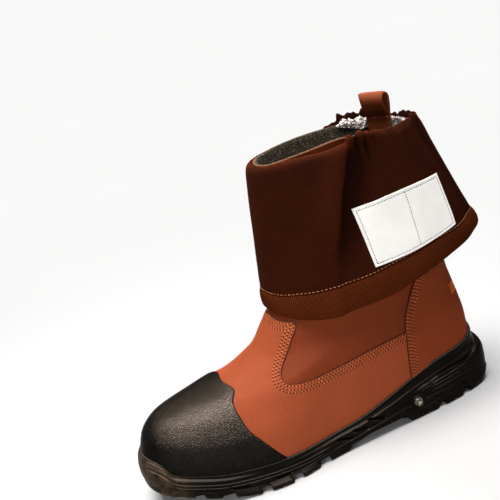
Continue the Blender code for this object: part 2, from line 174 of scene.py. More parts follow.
# How far the fold sits under the collar's edge, less than nothing where it stands above it: turn and drop
FOLD_DROP = np.array([
    (0.000, -1.6), (0.070, -1.2), (0.110, -0.8), (0.130, 0.0), (0.155, 1.4), (0.178, 2.8), (0.215, 4.3),
    (0.234, 4.3), (0.247, -1.2), (0.256, -2.8), (0.264, -2.2), (0.272, 0.6), (0.279, -2.0), (0.290, -2.7),
    (0.320, -2.7), (0.340, -1.9), (0.360, -3.0), (0.380, -4.1), (0.400, -4.6), (0.430, -4.5), (0.460, -4.0),
    (0.500, -3.5), (0.530, -4.6), (0.560, -3.4), (0.600, -4.0), (0.625, -7.0), (0.645, -8.6), (0.662, -7.6),
    (0.678, -9.0), (0.692, -7.2), (0.708, -3.0), (0.726, -0.4), (0.760, 0.6), (0.820, 0.8), (0.900, 0.2),
    (1.000, -1.6),
])
HEM_SEAM = np.array([
    (0.000, 6.32), (0.057, 6.32), (0.100, 6.27), (0.153, 6.19), (0.197, 6.14), (0.261, 6.03), (0.311, 6.00),
    (0.376, 6.12), (0.440, 6.22), (0.500, 6.26),
])
HEM_END = np.array([
    (0.000, 7.00), (0.050, 7.08), (0.090, 7.18), (0.140, 7.18), (0.185, 7.05), (0.244, 6.94),
    (0.296, 6.78), (0.340, 6.74), (0.390, 6.82), (0.433, 6.92), (0.500, 7.00),
])
HEM_STITCH_ABOVE = 0.07
LABEL_SIZE = (84.0, 50.0)
LABEL_INSET = 2.6
LABEL_CORNERS = ((0.2153, 4.60), (0.3855, 4.62), (0.3667, 5.93), (0.2222, 5.91))

# Pull loop on the inner side of the collar, near the back
LOOP_TURN = 0.600
LOOP_WIDTH = 26.0
LOOP_RISE = 25.0
LOOP_TAIL = 12.0
LOOP_OPEN = 8.6
LOOP_LEAN = 0.10
STRAP_THICK = 1.8
STRAP_GAP = 0.3
UP = np.array([0.0, 0.0, 1.0])


# The form shared by every piece

def steady_slopes(rise):
    """Slopes at the rows of a table, from the rise between them, that never overshoot the rows."""
    same = rise[:-1] * rise[1:] > 0
    safe = np.where(same, rise[:-1] + rise[1:], 1.0)
    between = np.where(same, 2.0 * rise[:-1] * rise[1:] / safe, 0.0)
    return np.concatenate([rise[:1], between, rise[-1:]])


def blended(s, step, start, end, leave, arrive):
    """Smooth run from start to end as s goes from 0 to 1 over a step, with the slopes at its two ends."""
    low = (1 + 2 * s) * (1 - s) ** 2 * start + s * (1 - s) ** 2 * step * leave
    high = s * s * (3 - 2 * s) * end + s * s * (s - 1) * step * arrive
    return low + high


def smooth_table(xs, ys, x):
    """Value at x of a smooth curve through a table that never overshoots its rows."""
    xs = np.asarray(xs, float)
    ys = np.asarray(ys, float)
    x = np.clip(np.asarray(x, float), xs[0], xs[-1])
    step = np.diff(xs)
    slope = steady_slopes(np.diff(ys) / step)
    i = np.clip(np.searchsorted(xs, x, side="right") - 1, 0, len(step) - 1)
    s = (x - xs[i]) / step[i]
    return blended(s, step[i], ys[i], ys[i + 1], slope[i], slope[i + 1])


def read_table(table, x, column=1):
    """Value at x of the smooth curve through a table's first column and another."""
    return smooth_table(table[:, 0], table[:, column], x)


def ease(a):
    a = np.clip(a, 0.0, 1.0)
    return a * a * (3 - 2 * a)


def bump_at(x, middle, width):
    """Soft hump of height one."""
    return np.exp(-((x - middle) / width) ** 2)


def plateau(x, half, soft):
    """One inside a band, falling softly to nothing past its sides."""
    return ease((half + soft / 2 - np.abs(x)) / soft)


def unit(v):
    return v / np.maximum(np.linalg.norm(v, axis=-1, keepdims=True), 1e-9)


def oval(angle, power):
    """Half width, from nothing to one, of a rounded oval at each angle round it."""
    return np.maximum(1 - np.abs(np.cos(angle)) ** power, 0.0) ** (1 / power)


def plan_side(way):
    """Level direction to the right of a way: outwards where the way runs round the boot."""
    return unit(np.stack([way[..., 1], -way[..., 0], np.zeros(way.shape[:-1])], -1))


def left_of(path):
    """Direction to the left of a flat path at each of its points."""
    way = unit(np.gradient(path, axis=0))
    return np.stack([-way[:, 1], way[:, 0]], -1)


def softened(field):
    """Random field with each value blended into its neighbours along the row."""
    return 0.5 * field + 0.25 * (np.roll(field, 1, axis=1) + np.roll(field, -1, axis=1))


def folded(turn):
    """The same place counted from the toe on either side."""
    turn = np.mod(turn, 1.0)
    return np.minimum(turn, 1 - turn)


def walked(points):
    """Length walked along a path up to each of its points."""
    return np.concatenate([[0.0], np.cumsum(np.linalg.norm(np.diff(points, axis=0), axis=1))])


def spread_along(spots, walk, points):
    """Points of a path at the given lengths of its walk."""
    return np.stack([np.interp(spots, walk, column) for column in points.T], -1)


def last(turn, reach):
    """Point on the outside of the upper: turn goes round from the toe, reach from sole to collar."""
    turn, reach = np.broadcast_arrays(np.asarray(turn, float), np.asarray(reach, float))
    rows = np.linspace(0.0, 1.0, len(SECTIONS))
    size = {c: smooth_table(rows, SECTIONS[:, i], reach) for i, c in enumerate(SECTION_COLUMNS)}
    angle = 2 * np.pi * turn
    along = (1 + np.cos(angle)) / 2
    power = size["back_power"] + (size["front_power"] - size["back_power"]) * ease((along - 0.3) / 0.4)
    tip = oval(angle, power)
    medial = np.sin(angle) < 0
    low = 1 - np.clip(reach / 0.6, 0, 1)
    waist = size["half_waist"] + np.where(medial, WAIST_MEDIAL, WAIST_LATERAL) * low
    ball = size["half_ball"] + np.where(medial, BALL_MEDIAL, 0.0) * low
    half = size["half_heel"] + (waist - size["half_heel"]) * ease((along - 0.20) / 0.27)
    half = half + (ball - waist) * ease((along - 0.47) / 0.25)
    y = np.sign(np.sin(angle)) * half * tip
    y = y + TOE_SWING * np.clip(1 - reach / 0.5, 0, 1) * ease((along - 0.5) / 0.5)
    x = size["back_x"] + (size["front_x"] - size["back_x"]) * along
    z = size["back_z"] + (size["front_z"] - size["back_z"]) * along
    z = z - size["dip"] * 4 * along * (1 - along)
    z = z + size["spring"] * np.clip((along - 0.7) / 0.3, 0, 1) ** 2
    z = z + read_table(COLLAR_WAVE, np.mod(turn, 1.0)) * ease((reach - 0.86) / 0.14)
    return np.stack([x, y, z], -1)


def outward(turn, reach):
    """Unit normal of the upper, pointing out."""
    turn, reach = np.broadcast_arrays(np.asarray(turn, float), np.asarray(reach, float))
    small = 0.004
    round_way = last(turn + small, reach) - last(turn - small, reach)
    up_way = last(turn, np.minimum(reach + small, 1.0)) - last(turn, np.maximum(reach - small, 0.0))
    return unit(np.cross(round_way, up_way))


def crease_depth(points):
    """How far the leather sinks at each point, from the table of soft creases."""
    sink = np.zeros(points.shape[:-1])
    for row in CREASES:
        size = dict(zip(CREASE_COLUMNS, row))
        share = np.linspace(0, 1, 7)
        line = last(size["turn_a"] + (size["turn_b"] - size["turn_a"]) * share,
                    size["reach_a"] + (size["reach_b"] - size["reach_a"]) * share)
        nearest = np.full(points.shape[:-1], 1e9)
        for a, b in zip(line[:-1], line[1:]):
            way = b - a
            t = np.clip(((points - a) @ way) / (way @ way), 0, 1)
            nearest = np.minimum(nearest, np.linalg.norm(points - a - t[..., None] * way, axis=-1))
        near = nearest / size["width"]
        ridge_beside = 0.35 * np.exp(-((near - 1.5) / 0.7) ** 2)
        sink += size["depth"] * (np.exp(-near ** 2) - ridge_beside)
    return sink


def skin(turn, reach, height):
    """Point at a height above the creased leather."""
    base = last(turn, reach)
    lift = np.asarray(height, float) - crease_depth(base)
    return base + lift[..., None] * outward(turn, reach)


def rim_value(turn, column):
    return read_table(RIM, folded(turn), RIM_COLUMNS.index(column))


def sole_value(x, column):
    return read_table(SOLE, x, SOLE_COLUMNS.index(column))


def rim_reach(turn):
    """How far up the upper the sole's rim comes at each place."""
    levels = np.linspace(0.0, 0.35, 141)
    heights = rim_value(turn, "height")
    found = []
    for place, height in zip(turn, heights):
        line = last(place, levels)[:, 2]
        found.append(np.interp(height, np.maximum.accumulate(line), levels))
    return np.array(found)


def plan_outward(ring):
    """Outward direction in plan of a closed ring of points that runs from +X towards +Y."""
    return plan_side(np.roll(ring, -1, axis=0) - np.roll(ring, 1, axis=0))


def even_turns(count, reach):
    """Places round the boot an even walk apart at one reach."""
    dense = np.linspace(0, 1, 2001)
    walk = walked(last(dense, reach))
    return np.interp(np.arange(count) / count * walk[-1], walk, dense)


# Mesh making

def to_frame(points):
    return (np.asarray(points, float).reshape(-1, 3) - HEEL_TO_ORIGIN) * MM


def grid_faces(rows, cols, wrap=False):
    faces = []
    for r in range(rows - 1):
        for c in range(cols if wrap else cols - 1):
            d = (c + 1) % cols
            a = r * cols
            b = a + cols
            faces.append((a + c, a + d, b + d, b + c))
    return faces


def bar_faces(rows, cols):
    """Faces of a closed bar: rings of points joined up, with a face over each end."""
    first = tuple(range(cols))
    return grid_faces(rows, cols, True) + [first[::-1], tuple((rows - 1) * cols + i for i in first)]


def hoop_faces(rows, cols):
    """Faces of a closed hoop: rings of points joined up, the last one back to the first."""
    end = (rows - 1) * cols
    back = [(end + i, end + (i + 1) % cols, (i + 1) % cols, i) for i in range(cols)]
    return grid_faces(rows, cols, True) + back


def placed(name, data):
    """New object of a mesh, light or camera, linked into the scene."""
    made = bpy.data.objects.new(name, data)
    bpy.context.scene.collection.objects.link(made)
    return made


def new_piece(name, points, faces, finish, sharp=None):
    """A smooth-shaded mesh piece in the frame, from points in millimetres."""
    mesh = bpy.data.meshes.new(name)
    mesh.from_pydata(to_frame(points).tolist(), [], faces)
    mesh.materials.append(finish)
    mesh.shade_smooth()
    if sharp is not None:
        mesh.set_sharp_from_angle(angle=math.radians(sharp))
    mesh.update()
    return placed(name, mesh)


def shell(name, outer, inner, finish, wrap=False):
    """Closed sheet from an outer and an inner grid; turned so that the outer grid faces out."""
    rows, cols = outer.shape[:2]
    r, c = rows // 2, cols // 2
    face = np.cross(outer[r, c + 1] - outer[r, c], outer[r + 1, c] - outer[r, c])
    flip = np.dot(face, outer[r, c] - inner[r, c]) < 0
    shift = rows * cols
    top = grid_faces(rows, cols, wrap)
    faces = top + [tuple(shift + k for k in f[::-1]) for f in top]
    if wrap:
        loops = [(list(range(cols)), True), ([(rows - 1) * cols + c for c in range(cols)], False)]
        for loop, first in loops:
            for a, b in zip(loop, loop[1:] + loop[:1]):
                faces.append((b, a, shift + a, shift + b) if first else (a, b, shift + b, shift + a))
    else:
        border = list(range(cols)) + [k * cols + cols - 1 for k in range(1, rows)]
        border += [(rows - 1) * cols + c for c in range(cols - 2, -1, -1)]
        border += [k * cols for k in range(rows - 2, 0, -1)]
        faces += [(b, a, shift + a, shift + b) for a, b in zip(border, border[1:] + border[:1])]
    if flip:
        faces = [f[::-1] for f in faces]
    return new_piece(name, np.concatenate([outer.reshape(-1, 3), inner.reshape(-1, 3)]), faces, finish)


def strip_cap(first, count, flip):
    """Closes a ring with strips from one side of the boot to the other."""
    faces = []
    for i in range(count // 2):
        loop = []
        for k in (i, i + 1, count - i - 1, (count - i) % count):
            if first + k not in loop:
                loop.append(first + k)
        faces.append(tuple(loop[::-1]) if flip else tuple(loop))
    return faces


def ring_body(name, rings, finish, sharp=None):
    """Closed body from rings listed from its underside outwards, up and back in."""
    count = len(rings[0])
    faces = grid_faces(len(rings), count, True)
    faces += strip_cap(0, count, True) + strip_cap((len(rings) - 1) * count, count, False)
    return new_piece(name, np.concatenate(rings), faces, finish, sharp)


def hoop_along(name, path, radius, sides, finish):
    """Round cord of leather along a closed path."""
    way = unit(np.roll(path, -1, axis=0) - np.roll(path, 1, axis=0))
    side = unit(np.cross(way, UP))
    rise = np.cross(side, way)
    angle = np.arange(sides) / sides * 2 * np.pi
    spoke = side[:, None] * np.cos(angle)[:, None] + rise[:, None] * np.sin(angle)[:, None]
    rings = path[:, None] + radius * spoke
    return new_piece(name, rings, [f[::-1] for f in hoop_faces(len(path), sides)], finish)


def mark_points(piece, name, values):
    """Gives every point of a piece a value that its finish reads."""
    field = piece.data.attributes.new(name, "FLOAT", "POINT")
    field.data.foreach_set("value", values.astype(np.float32))


def corner_points(mesh):
    """Which point each corner of each face stands on."""
    corners = np.zeros(len(mesh.loops), np.int32)
    mesh.loops.foreach_get("vertex_index", corners)
    return corners


def lay_cloth_map(mesh, across, down):
    layer = mesh.uv_layers.new(name="cloth")
    layer.data.foreach_set("uv", np.stack([across, down], -1).astype(np.float32).ravel())


# Materials

FULL = (1.0, 1.0, 1.0)
NONE = (0.0, 0.0, 0.0)
BAND_SCALE = 0.314


def finish_named(name, **sockets):
    """New material and its shader, with constant values set on the shader's own sockets."""
    paint = bpy.data.materials.new(name)
    paint.use_nodes = True
    shader = paint.node_tree.nodes["Principled BSDF"]
    for label, value in sockets.items():
        shader.inputs[label.replace("_", " ")].default_value = value
    return paint, paint.node_tree, shader


def node(tree, kind, settings=None, **sockets):
    made = tree.nodes.new(kind)
    for key, value in (settings or {}).items():
        setattr(made, key, value)
    for label, value in sockets.items():
        socket = made.inputs[label.replace("_", " ")]
        if hasattr(value, "links"):
            tree.links.new(value, socket)
        else:
            socket.default_value = value
    return made


def object_place(tree):
    return node(tree, "ShaderNodeTexCoord").outputs["Object"]


def noise(tree, place, scale, detail=3.0, rough=0.55, twist=0.0):
    made = node(tree, "ShaderNodeTexNoise", Vector=place, Scale=scale, Detail=detail, Roughness=rough,
                Distortion=twist)
    return made.outputs["Fac"]


def cells(tree, place, scale):
    return node(tree, "ShaderNodeTexVoronoi", Vector=place, Scale=scale).outputs["Distance"]


def bands(tree, place, pitch, way, **sockets):
    """Even bands across a cloth's map, one for each pitch in metres."""
    made = node(tree, "ShaderNodeTexWave", {"wave_type": "BANDS", "bands_direction": way},
                Vector=place, Scale=BAND_SCALE / pitch, **sockets)
    return made.outputs["Fac"]


def cloth_place(tree):
    return node(tree, "ShaderNodeUVMap", {"uv_map": "cloth"}).outputs["UV"]


def marked(tree, name):
    return node(tree, "ShaderNodeAttribute", {"attribute_name": name}).outputs["Fac"]


def sum_of(tree, *terms):
    """Weighted sum of height fields."""
    total = None
    for field, weight in terms:
        part = node(tree, "ShaderNodeMath", {"operation": "MULTIPLY"})
        tree.links.new(field, part.inputs[0])
        part.inputs[1].default_value = weight
        if total is None:
            total = part.outputs[0]
            continue
        both = node(tree, "ShaderNodeMath", {"operation": "ADD"})
        tree.links.new(total, both.inputs[0])
        tree.links.new(part.outputs[0], both.inputs[1])
        total = both.outputs[0]
    return total


def ramp(tree, field, *stops):
    made = node(tree, "ShaderNodeValToRGB")
    tree.links.new(field, made.inputs[0])
    band = made.color_ramp
    while len(band.elements) < len(stops):
        band.elements.new(0.5)
    for element, (place, colour) in zip(band.elements, stops):
        element.position = place
        element.color = (*colour, 1.0)
    return made.outputs["Color"]


def mixed(tree, share, first, second, how="MIX"):
    made = node(tree, "ShaderNodeMix", {"data_type": "RGBA", "blend_type": how})
    for socket, value in ((made.inputs[0], share), (made.inputs[6], first), (made.inputs[7], second)):
        if hasattr(value, "links"):
            tree.links.new(value, socket)
        else:
            socket.default_value = value if isinstance(value, float) else (*value, 1.0)
    return made.outputs[2]


def layered(tree, how, *colours):
    """Colours laid over each other, one after another, by one way of mixing."""
    total = colours[0]
    for colour in colours[1:]:
        total = mixed(tree, 1.0, total, colour, how)
    return total


def spanned(tree, field, low, high, start=0.0, end=1.0):
    made = node(tree, "ShaderNodeMapRange", Value=field, From_Min=start, From_Max=end,
                To_Min=low, To_Max=high)
    return made.outputs["Result"]


def surface(tree, shader, colour, rough, height=None, strength=0.0, depth=0.0):
    """Joins the fields of a finish to its shader; depth is the bump's, in metres."""
    tree.links.new(colour, shader.inputs["Base Color"])
    tree.links.new(rough, shader.inputs["Roughness"])
    if height is not None:
        lift = node(tree, "ShaderNodeBump", Height=height, Strength=strength, Distance=depth)
        tree.links.new(lift.outputs["Normal"], shader.inputs["Normal"])


def tan_leather(name, light, dark):
    """Smooth oiled leather: soft even colour, fine pores and a low gloss."""
    paint, tree, shader = finish_named(name, Specular_IOR_Level=0.004)
    place = object_place(tree)
    clouds = noise(tree, place, 11.0, 2.0, 0.45, 0.3)
    mottle = noise(tree, place, 420.0, 3.0, 0.6)
    tone = ramp(tree, clouds, (0.25, dark), (0.75, light))
    speck = ramp(tree, mottle, (0.30, (0.91, 0.90, 0.89)), (0.62, FULL))
    grain = cells(tree, place, 1050.0)
    pores = noise(tree, place, 1900.0, 2.0)
    waves = noise(tree, place, 70.0, 2.0, 0.5, 0.3)
    height = sum_of(tree, (grain, 0.55), (pores, 0.45), (waves, 0.6))
    surface(tree, shader, layered(tree, "MULTIPLY", tone, speck),
            spanned(tree, mottle, 0.42, 0.56, 0.3, 0.7), height, 0.22, 0.00025)
    return paint


def moulded_rubber(name, dark, light, rough):
    """Satin black moulding with a fine matt texture and a little dust."""
    paint, tree, shader = finish_named(name, Specular_IOR_Level=0.018)
    place = object_place(tree)
    clouds = noise(tree, place, 38.0, 4.0, 0.6)
    fine = noise(tree, place, 1500.0, 2.0)
    dust = noise(tree, place, 320.0, 4.0, 0.65)
    tone = ramp(tree, clouds, (0.30, dark), (0.75, light))
    powder = ramp(tree, dust, (0.58, NONE), (0.85, (0.008, 0.006, 0.004)))
    clods = noise(tree, place, 140.0, 5.0, 0.7)
    soil = ramp(tree, clods, (0.35, (0.004, 0.0025, 0.001)), (0.70, (0.066, 0.043, 0.029)))
    worn = mixed(tree, marked(tree, "dust"), NONE, soil)
    surface(tree, shader, layered(tree, "ADD", tone, powder, worn),
            spanned(tree, clouds, rough[0], rough[1], 0.3, 0.7),
            sum_of(tree, (fine, 0.5), (dust, 0.5)), 0.25, 0.0002)
    return paint


def pebbled_rubber():
    """The toe cap's coarse pebble grain, its tops painted lighter and its valleys darker: painted highlight
    on the tops, painted shade in the valleys.
    """
    paint, tree, shader = finish_named("pebbled_cap_rubber", Metallic=0.55, Specular_IOR_Level=0.004,
                                       Specular_Tint=(0.05, 0.05, 0.05, 1.0))
    place = object_place(tree)
    bend = noise(tree, place, 260.0, 2.0)
    pebble = cells(tree, place, 980.0)
    small = cells(tree, place, 1500.0)
    wear = noise(tree, place, 60.0, 3.0)
    # pebble tops lighter, valleys darker: painted highlight and painted shade in the grain
    tone = ramp(tree, pebble, (0.12, (0.0205, 0.0182, 0.0166)), (0.50, (0.0056, 0.0050, 0.0044)))
    surface(tree, shader, tone, spanned(tree, wear, 0.17, 0.24, 0.3, 0.7),
            sum_of(tree, (pebble, -1.0), (small, -0.55), (bend, 0.25)), 0.62, 0.00054)
    return paint


def woven(name, light, dark, pitch, slant, sheen):
    """Twill cloth that follows the piece's own map: slanted ribs crossed by a fine yarn, its colour darkened
    and lightened by the painted shade and highlight of its deep mark.
    """
    paint, tree, shader = finish_named(name, Specular_IOR_Level=0.003, Sheen_Weight=sheen,
                                       Sheen_Roughness=0.45, Sheen_Tint=(*light, 1.0))
    cloth = cloth_place(tree)
    lean = node(tree, "ShaderNodeMapping", Vector=cloth, Rotation=(0.0, 0.0, math.radians(slant)))
    ribs = bands(tree, lean.outputs["Vector"], pitch, "X", Distortion=0.7, Detail=1.0, Detail_Scale=2.0)
    yarn = bands(tree, cloth, pitch * 0.55, "Y", Distortion=0.4, Detail=1.0)
    place = object_place(tree)
    clouds = noise(tree, place, 26.0, 4.0, 0.6)
    fluff = noise(tree, place, 900.0, 3.0, 0.65)
    tone = ramp(tree, ribs, (0.15, dark), (0.85, light))
    shade = ramp(tree, clouds, (0.25, (0.72, 0.70, 0.70)), (0.75, FULL))
    fleck = ramp(tree, fluff, (0.35, (0.80, 0.80, 0.80)), (0.65, (1.12, 1.10, 1.08)))
    # deep mark: painted highlight on the fold's crest, up to 2.2 times lighter; painted shade in the fold
    # hollows and round the back, down to a third
    deep = ramp(tree, marked(tree, "deep"), (0.0, (2.2, 2.1, 2.0)), (0.30, FULL), (1.0, (0.34, 0.30, 0.28)))
    height = sum_of(tree, (ribs, 0.7), (yarn, 0.35), (fluff, 0.5))
    surface(tree, shader, layered(tree, "MULTIPLY", tone, shade, fleck, deep),
            spanned(tree, fluff, 0.70, 0.90, 0.3, 0.7), height, 0.55, 0.0004)
    return paint


def fleece_cloth():
    """Dark napped lining with pale flecks."""
    paint, tree, shader = finish_named("fleece_lining", Specular_IOR_Level=0.006, Sheen_Weight=0.06,
                                       Sheen_Roughness=0.6)
    place = object_place(tree)
    nap = noise(tree, place, 700.0, 4.0, 0.7)
    fleck = noise(tree, place, 760.0, 2.0, 0.5)
    tone = ramp(tree, nap, (0.30, (0.020, 0.016, 0.0108)), (0.70, (0.088, 0.073, 0.052)))
    pale = ramp(tree, fleck, (0.57, NONE), (0.68, (0.260, 0.236, 0.184)))
    surface(tree, shader, layered(tree, "ADD", tone, pale), spanned(tree, nap, 0.85, 0.97),
            sum_of(tree, (nap, 1.0), (fleck, 0.5)), 0.9, 0.0009)
    return paint


def felt_cloth():
    paint, tree, shader = finish_named("felt_insole", Specular_IOR_Level=0.15, Sheen_Weight=0.2)
    place = object_place(tree)
    fibre = noise(tree, place, 600.0, 4.0, 0.7, 0.6)
    clouds = noise(tree, place, 30.0, 3.0)
    tone = ramp(tree, fibre, (0.3, (0.035, 0.035, 0.033)), (0.7, (0.10, 0.10, 0.095)))
    surface(tree, shader, tone, spanned(tree, clouds, 0.82, 0.95), fibre, 0.6, 0.0004)
    return paint


def waxed_thread(name, light, dark):
    paint, tree, shader = finish_named(name, Specular_IOR_Level=0.035)
    place = object_place(tree)
    ply = noise(tree, place, 2600.0, 2.0, 0.5, 1.0)
    patch = noise(tree, place, 60.0, 2.0)
    tone = ramp(tree, sum_of(tree, (ply, 0.5), (patch, 0.5)), (0.35, dark), (0.65, light))
    surface(tree, shader, tone, spanned(tree, ply, 0.42, 0.62), ply, 0.5, 0.0002)
    return paint


def needle_dark(name, dark, light):
    paint, tree, shader = finish_named(name, Specular_IOR_Level=0.012)
    place = object_place(tree)
    tone = ramp(tree, noise(tree, place, 500.0, 2.0), (0.3, dark), (0.7, light))
    surface(tree, shader, tone, spanned(tree, noise(tree, place, 900.0), 0.8, 0.95))
    return paint


def label_cloth():
    """White satin tape, fine weave, left blank."""
    paint, tree, shader = finish_named("label_tape", Specular_IOR_Level=0.02, Sheen_Weight=0.1)
    cloth = cloth_place(tree)
    warp = bands(tree, cloth, 0.0006, "X")
    weft = bands(tree, cloth, 0.0005, "Y")
    place = object_place(tree)
    soil = noise(tree, place, 45.0, 4.0, 0.6)
    tone = ramp(tree, soil, (0.30, (0.86, 0.86, 0.85)), (0.65, (0.94, 0.94, 0.94)))
    surface(tree, shader, tone, spanned(tree, soil, 0.55, 0.70),
            sum_of(tree, (warp, 0.5), (weft, 0.5)), 0.25, 0.0002)
    return paint


def membrane_film():
    """Crumpled pale film between lining and cuff, with a dull sheen."""
    paint, tree, shader = finish_named("membrane_film", Specular_IOR_Level=0.14, Coat_Weight=0.05,
                                       Coat_Roughness=0.25)
    place = object_place(tree)
    crumple = noise(tree, place, 230.0, 4.0, 0.6, 1.4)
    haze = noise(tree, place, 120.0, 3.0)
    tone = ramp(tree, haze, (0.35, (0.10, 0.09, 0.10)), (0.68, (0.60, 0.56, 0.60)))
    height = sum_of(tree, (crumple, 1.0), (haze, 0.6))
    surface(tree, shader, tone, spanned(tree, haze, 0.28, 0.5), height, 0.8, 0.002)
    return paint


def badge_metal():
    paint, tree, shader = finish_named("badge_metal", Metallic=0.4, Specular_IOR_Level=0.1)
    place = object_place(tree)
    brushed = noise(tree, place, 900.0, 3.0, 0.6)
    tone = ramp(tree, brushed, (0.3, (0.050, 0.047, 0.040)), (0.7, (0.15, 0.14, 0.12)))
    surface(tree, shader, tone, spanned(tree, brushed, 0.28, 0.5), brushed, 0.2, 0.0001)
    return paint


def pale_paper():
    paint, tree, shader = finish_named("pale_floor", Specular_IOR_Level=0.0)
    place = object_place(tree)
    clouds = noise(tree, place, 3.0, 2.0)
    tone = ramp(tree, clouds, (0.2, (0.530, 0.556, 0.597)), (0.8, (0.543, 0.569, 0.612)))
    surface(tree, shader, tone, spanned(tree, noise(tree, place, 40.0), 0.85, 0.95))
    return paint


# Seams: geometry nodes lay one stitch after another along a path

def stitch_tree():
    """Node tree that lays beads of thread along a seam, flat on the skin under it."""
    tree = bpy.data.node_groups.new("lay_stitches", "GeometryNodeTree")
    inlets = (("Seam", "Geometry"), ("Pitch", "Float"), ("Length", "Float"), ("Width", "Float"),
              ("Height", "Float"), ("Seed", "Int"), ("Thread", "Material"))
    for label, kind in inlets:
        tree.interface.new_socket(label, in_out="INPUT", socket_type="NodeSocket" + kind)
    tree.interface.new_socket("Stitches", in_out="OUTPUT", socket_type="NodeSocketGeometry")
    given = tree.nodes.new("NodeGroupInput").outputs
    curve = node(tree, "GeometryNodeMeshToCurve", Mesh=given["Seam"])
    spaced = node(tree, "GeometryNodeResampleCurve", {"mode": "LENGTH"}, Curve=curve.outputs["Curve"],
                  Length=given["Pitch"])
    bead = node(tree, "GeometryNodeMeshUVSphere", Segments=8, Rings=5, Radius=0.5)
    soft = node(tree, "GeometryNodeSetShadeSmooth", Geometry=bead.outputs["Mesh"])
    skin_way = node(tree, "GeometryNodeInputNamedAttribute", {"data_type": "FLOAT_VECTOR"},
                    Name="skin_way")
    seam_way = node(tree, "GeometryNodeInputTangent")
    turned = node(tree, "FunctionNodeAxesToRotation", {"primary_axis": "Z", "secondary_axis": "X"},
                  Primary_Axis=skin_way.outputs["Attribute"], Secondary_Axis=seam_way.outputs["Tangent"])
    size = node(tree, "ShaderNodeCombineXYZ", X=given["Length"], Y=given["Width"], Z=given["Height"])
    uneven = node(tree, "FunctionNodeRandomValue", {"data_type": "FLOAT"}, Seed=given["Seed"])
    least, most = uneven.inputs[2], uneven.inputs[3]
    least.default_value = 0.86
    most.default_value = 1.12
    grown = node(tree, "ShaderNodeVectorMath", {"operation": "SCALE"}, Vector=size.outputs["Vector"],
                 Scale=uneven.outputs[1])
    laid = node(tree, "GeometryNodeInstanceOnPoints", Points=spaced.outputs["Curve"],
                Instance=soft.outputs["Geometry"], Rotation=turned.outputs["Rotation"],
                Scale=grown.outputs["Vector"])
    real = node(tree, "GeometryNodeRealizeInstances", Geometry=laid.outputs["Instances"])
    painted = node(tree, "GeometryNodeSetMaterial", Geometry=real.outputs["Geometry"],
                   Material=given["Thread"])
    node(tree, "NodeGroupOutput", Stitches=painted.outputs["Geometry"])
    return tree


def sew(name, tree, seams, finish, bead):
    """One piece of thread beads along several seams, each a path of points and skin directions."""
    points, ways, edges = [], [], []
    for path, way in seams:
        first = sum(len(p) for p in points)
        points.append(path)
        ways.append(way)
        edges += [(first + i, first + i + 1) for i in range(len(path) - 1)]
    mesh = bpy.data.meshes.new(name + "_seam")
    mesh.from_pydata(to_frame(np.concatenate(points)).tolist(), edges, [])
    field = mesh.attributes.new("skin_way", "FLOAT_VECTOR", "POINT")
    field.data.foreach_set("vector", np.concatenate(ways).astype(np.float32).ravel())
    guide = placed(name + "_seam", mesh)
    layer = guide.modifiers.new("stitches", "NODES")
    layer.node_group = tree
    wanted = {label.title(): size * MM for label, size in zip(BEAD_COLUMNS, bead)}
    wanted.update(Seed=SEED, Thread=finish)
    for socket in tree.interface.items_tree:
        if socket.in_out == "INPUT" and socket.name in wanted:
            layer[socket.identifier] = wanted[socket.name]
    return settled(name, guide)


def settled(name, guide):
    """Turns a guide with live modifiers into a plain mesh piece and removes the guide."""
    live = bpy.context.evaluated_depsgraph_get()
    mesh = bpy.data.meshes.new_from_object(guide.evaluated_get(live), depsgraph=live)
    mesh.name = name
    for field in list(mesh.attributes):
        if field.name == "skin_way":
            mesh.attributes.remove(field)
    piece = placed(name, mesh)
    bpy.data.objects.remove(guide, do_unlink=True)
    return piece


def trimmed_seam(points, ways, pitch, start):
    """The seam cut to a whole number of stitches, from a start in millimetres along it."""
    walk = walked(points)
    count = int((walk[-1] - start) / pitch)
    spots = start + np.linspace(0, count * pitch, count * 6 + 1)
    return spread_along(spots, walk, points), unit(spread_along(spots, walk, ways))


# Leather panels that lie on the skin

def path_through(table, count):
    """Smooth line on the last through a table of turn and reach, at an even walk."""
    walk = walked(last(table[:, 0], table[:, 1]))
    slope = np.gradient(table, walk, axis=0)
    dense = np.linspace(0, walk[-1], 1600)
    i = np.clip(np.searchsorted(walk, dense, side="right") - 1, 0, len(walk) - 2)
    step = (walk[i + 1] - walk[i])[:, None]
    s = ((dense - walk[i])[:, None]) / step
    line = blended(s, step, table[i], table[i + 1], slope[i], slope[i + 1])
    for _ in range(60):
        line[1:-1] = 0.5 * line[1:-1] + 0.25 * (line[:-2] + line[2:])
    even = walked(last(line[:, 0], line[:, 1]))
    return spread_along(np.linspace(0, even[-1], count), even, line)


def both_sides(half, centre):
    """Whole edge from the outer side over the middle to the inner side, with turn falling."""
    if centre == 0.0:
        outer = half[::-1]
        inner = half[1:].copy()
        inner[:, 0] = -inner[:, 0]
        return np.concatenate([outer, inner])
    inner = half[::-1].copy()
    inner[:, 0] = 2 * centre - inner[:, 0]
    return np.concatenate([inner, half[1:]])


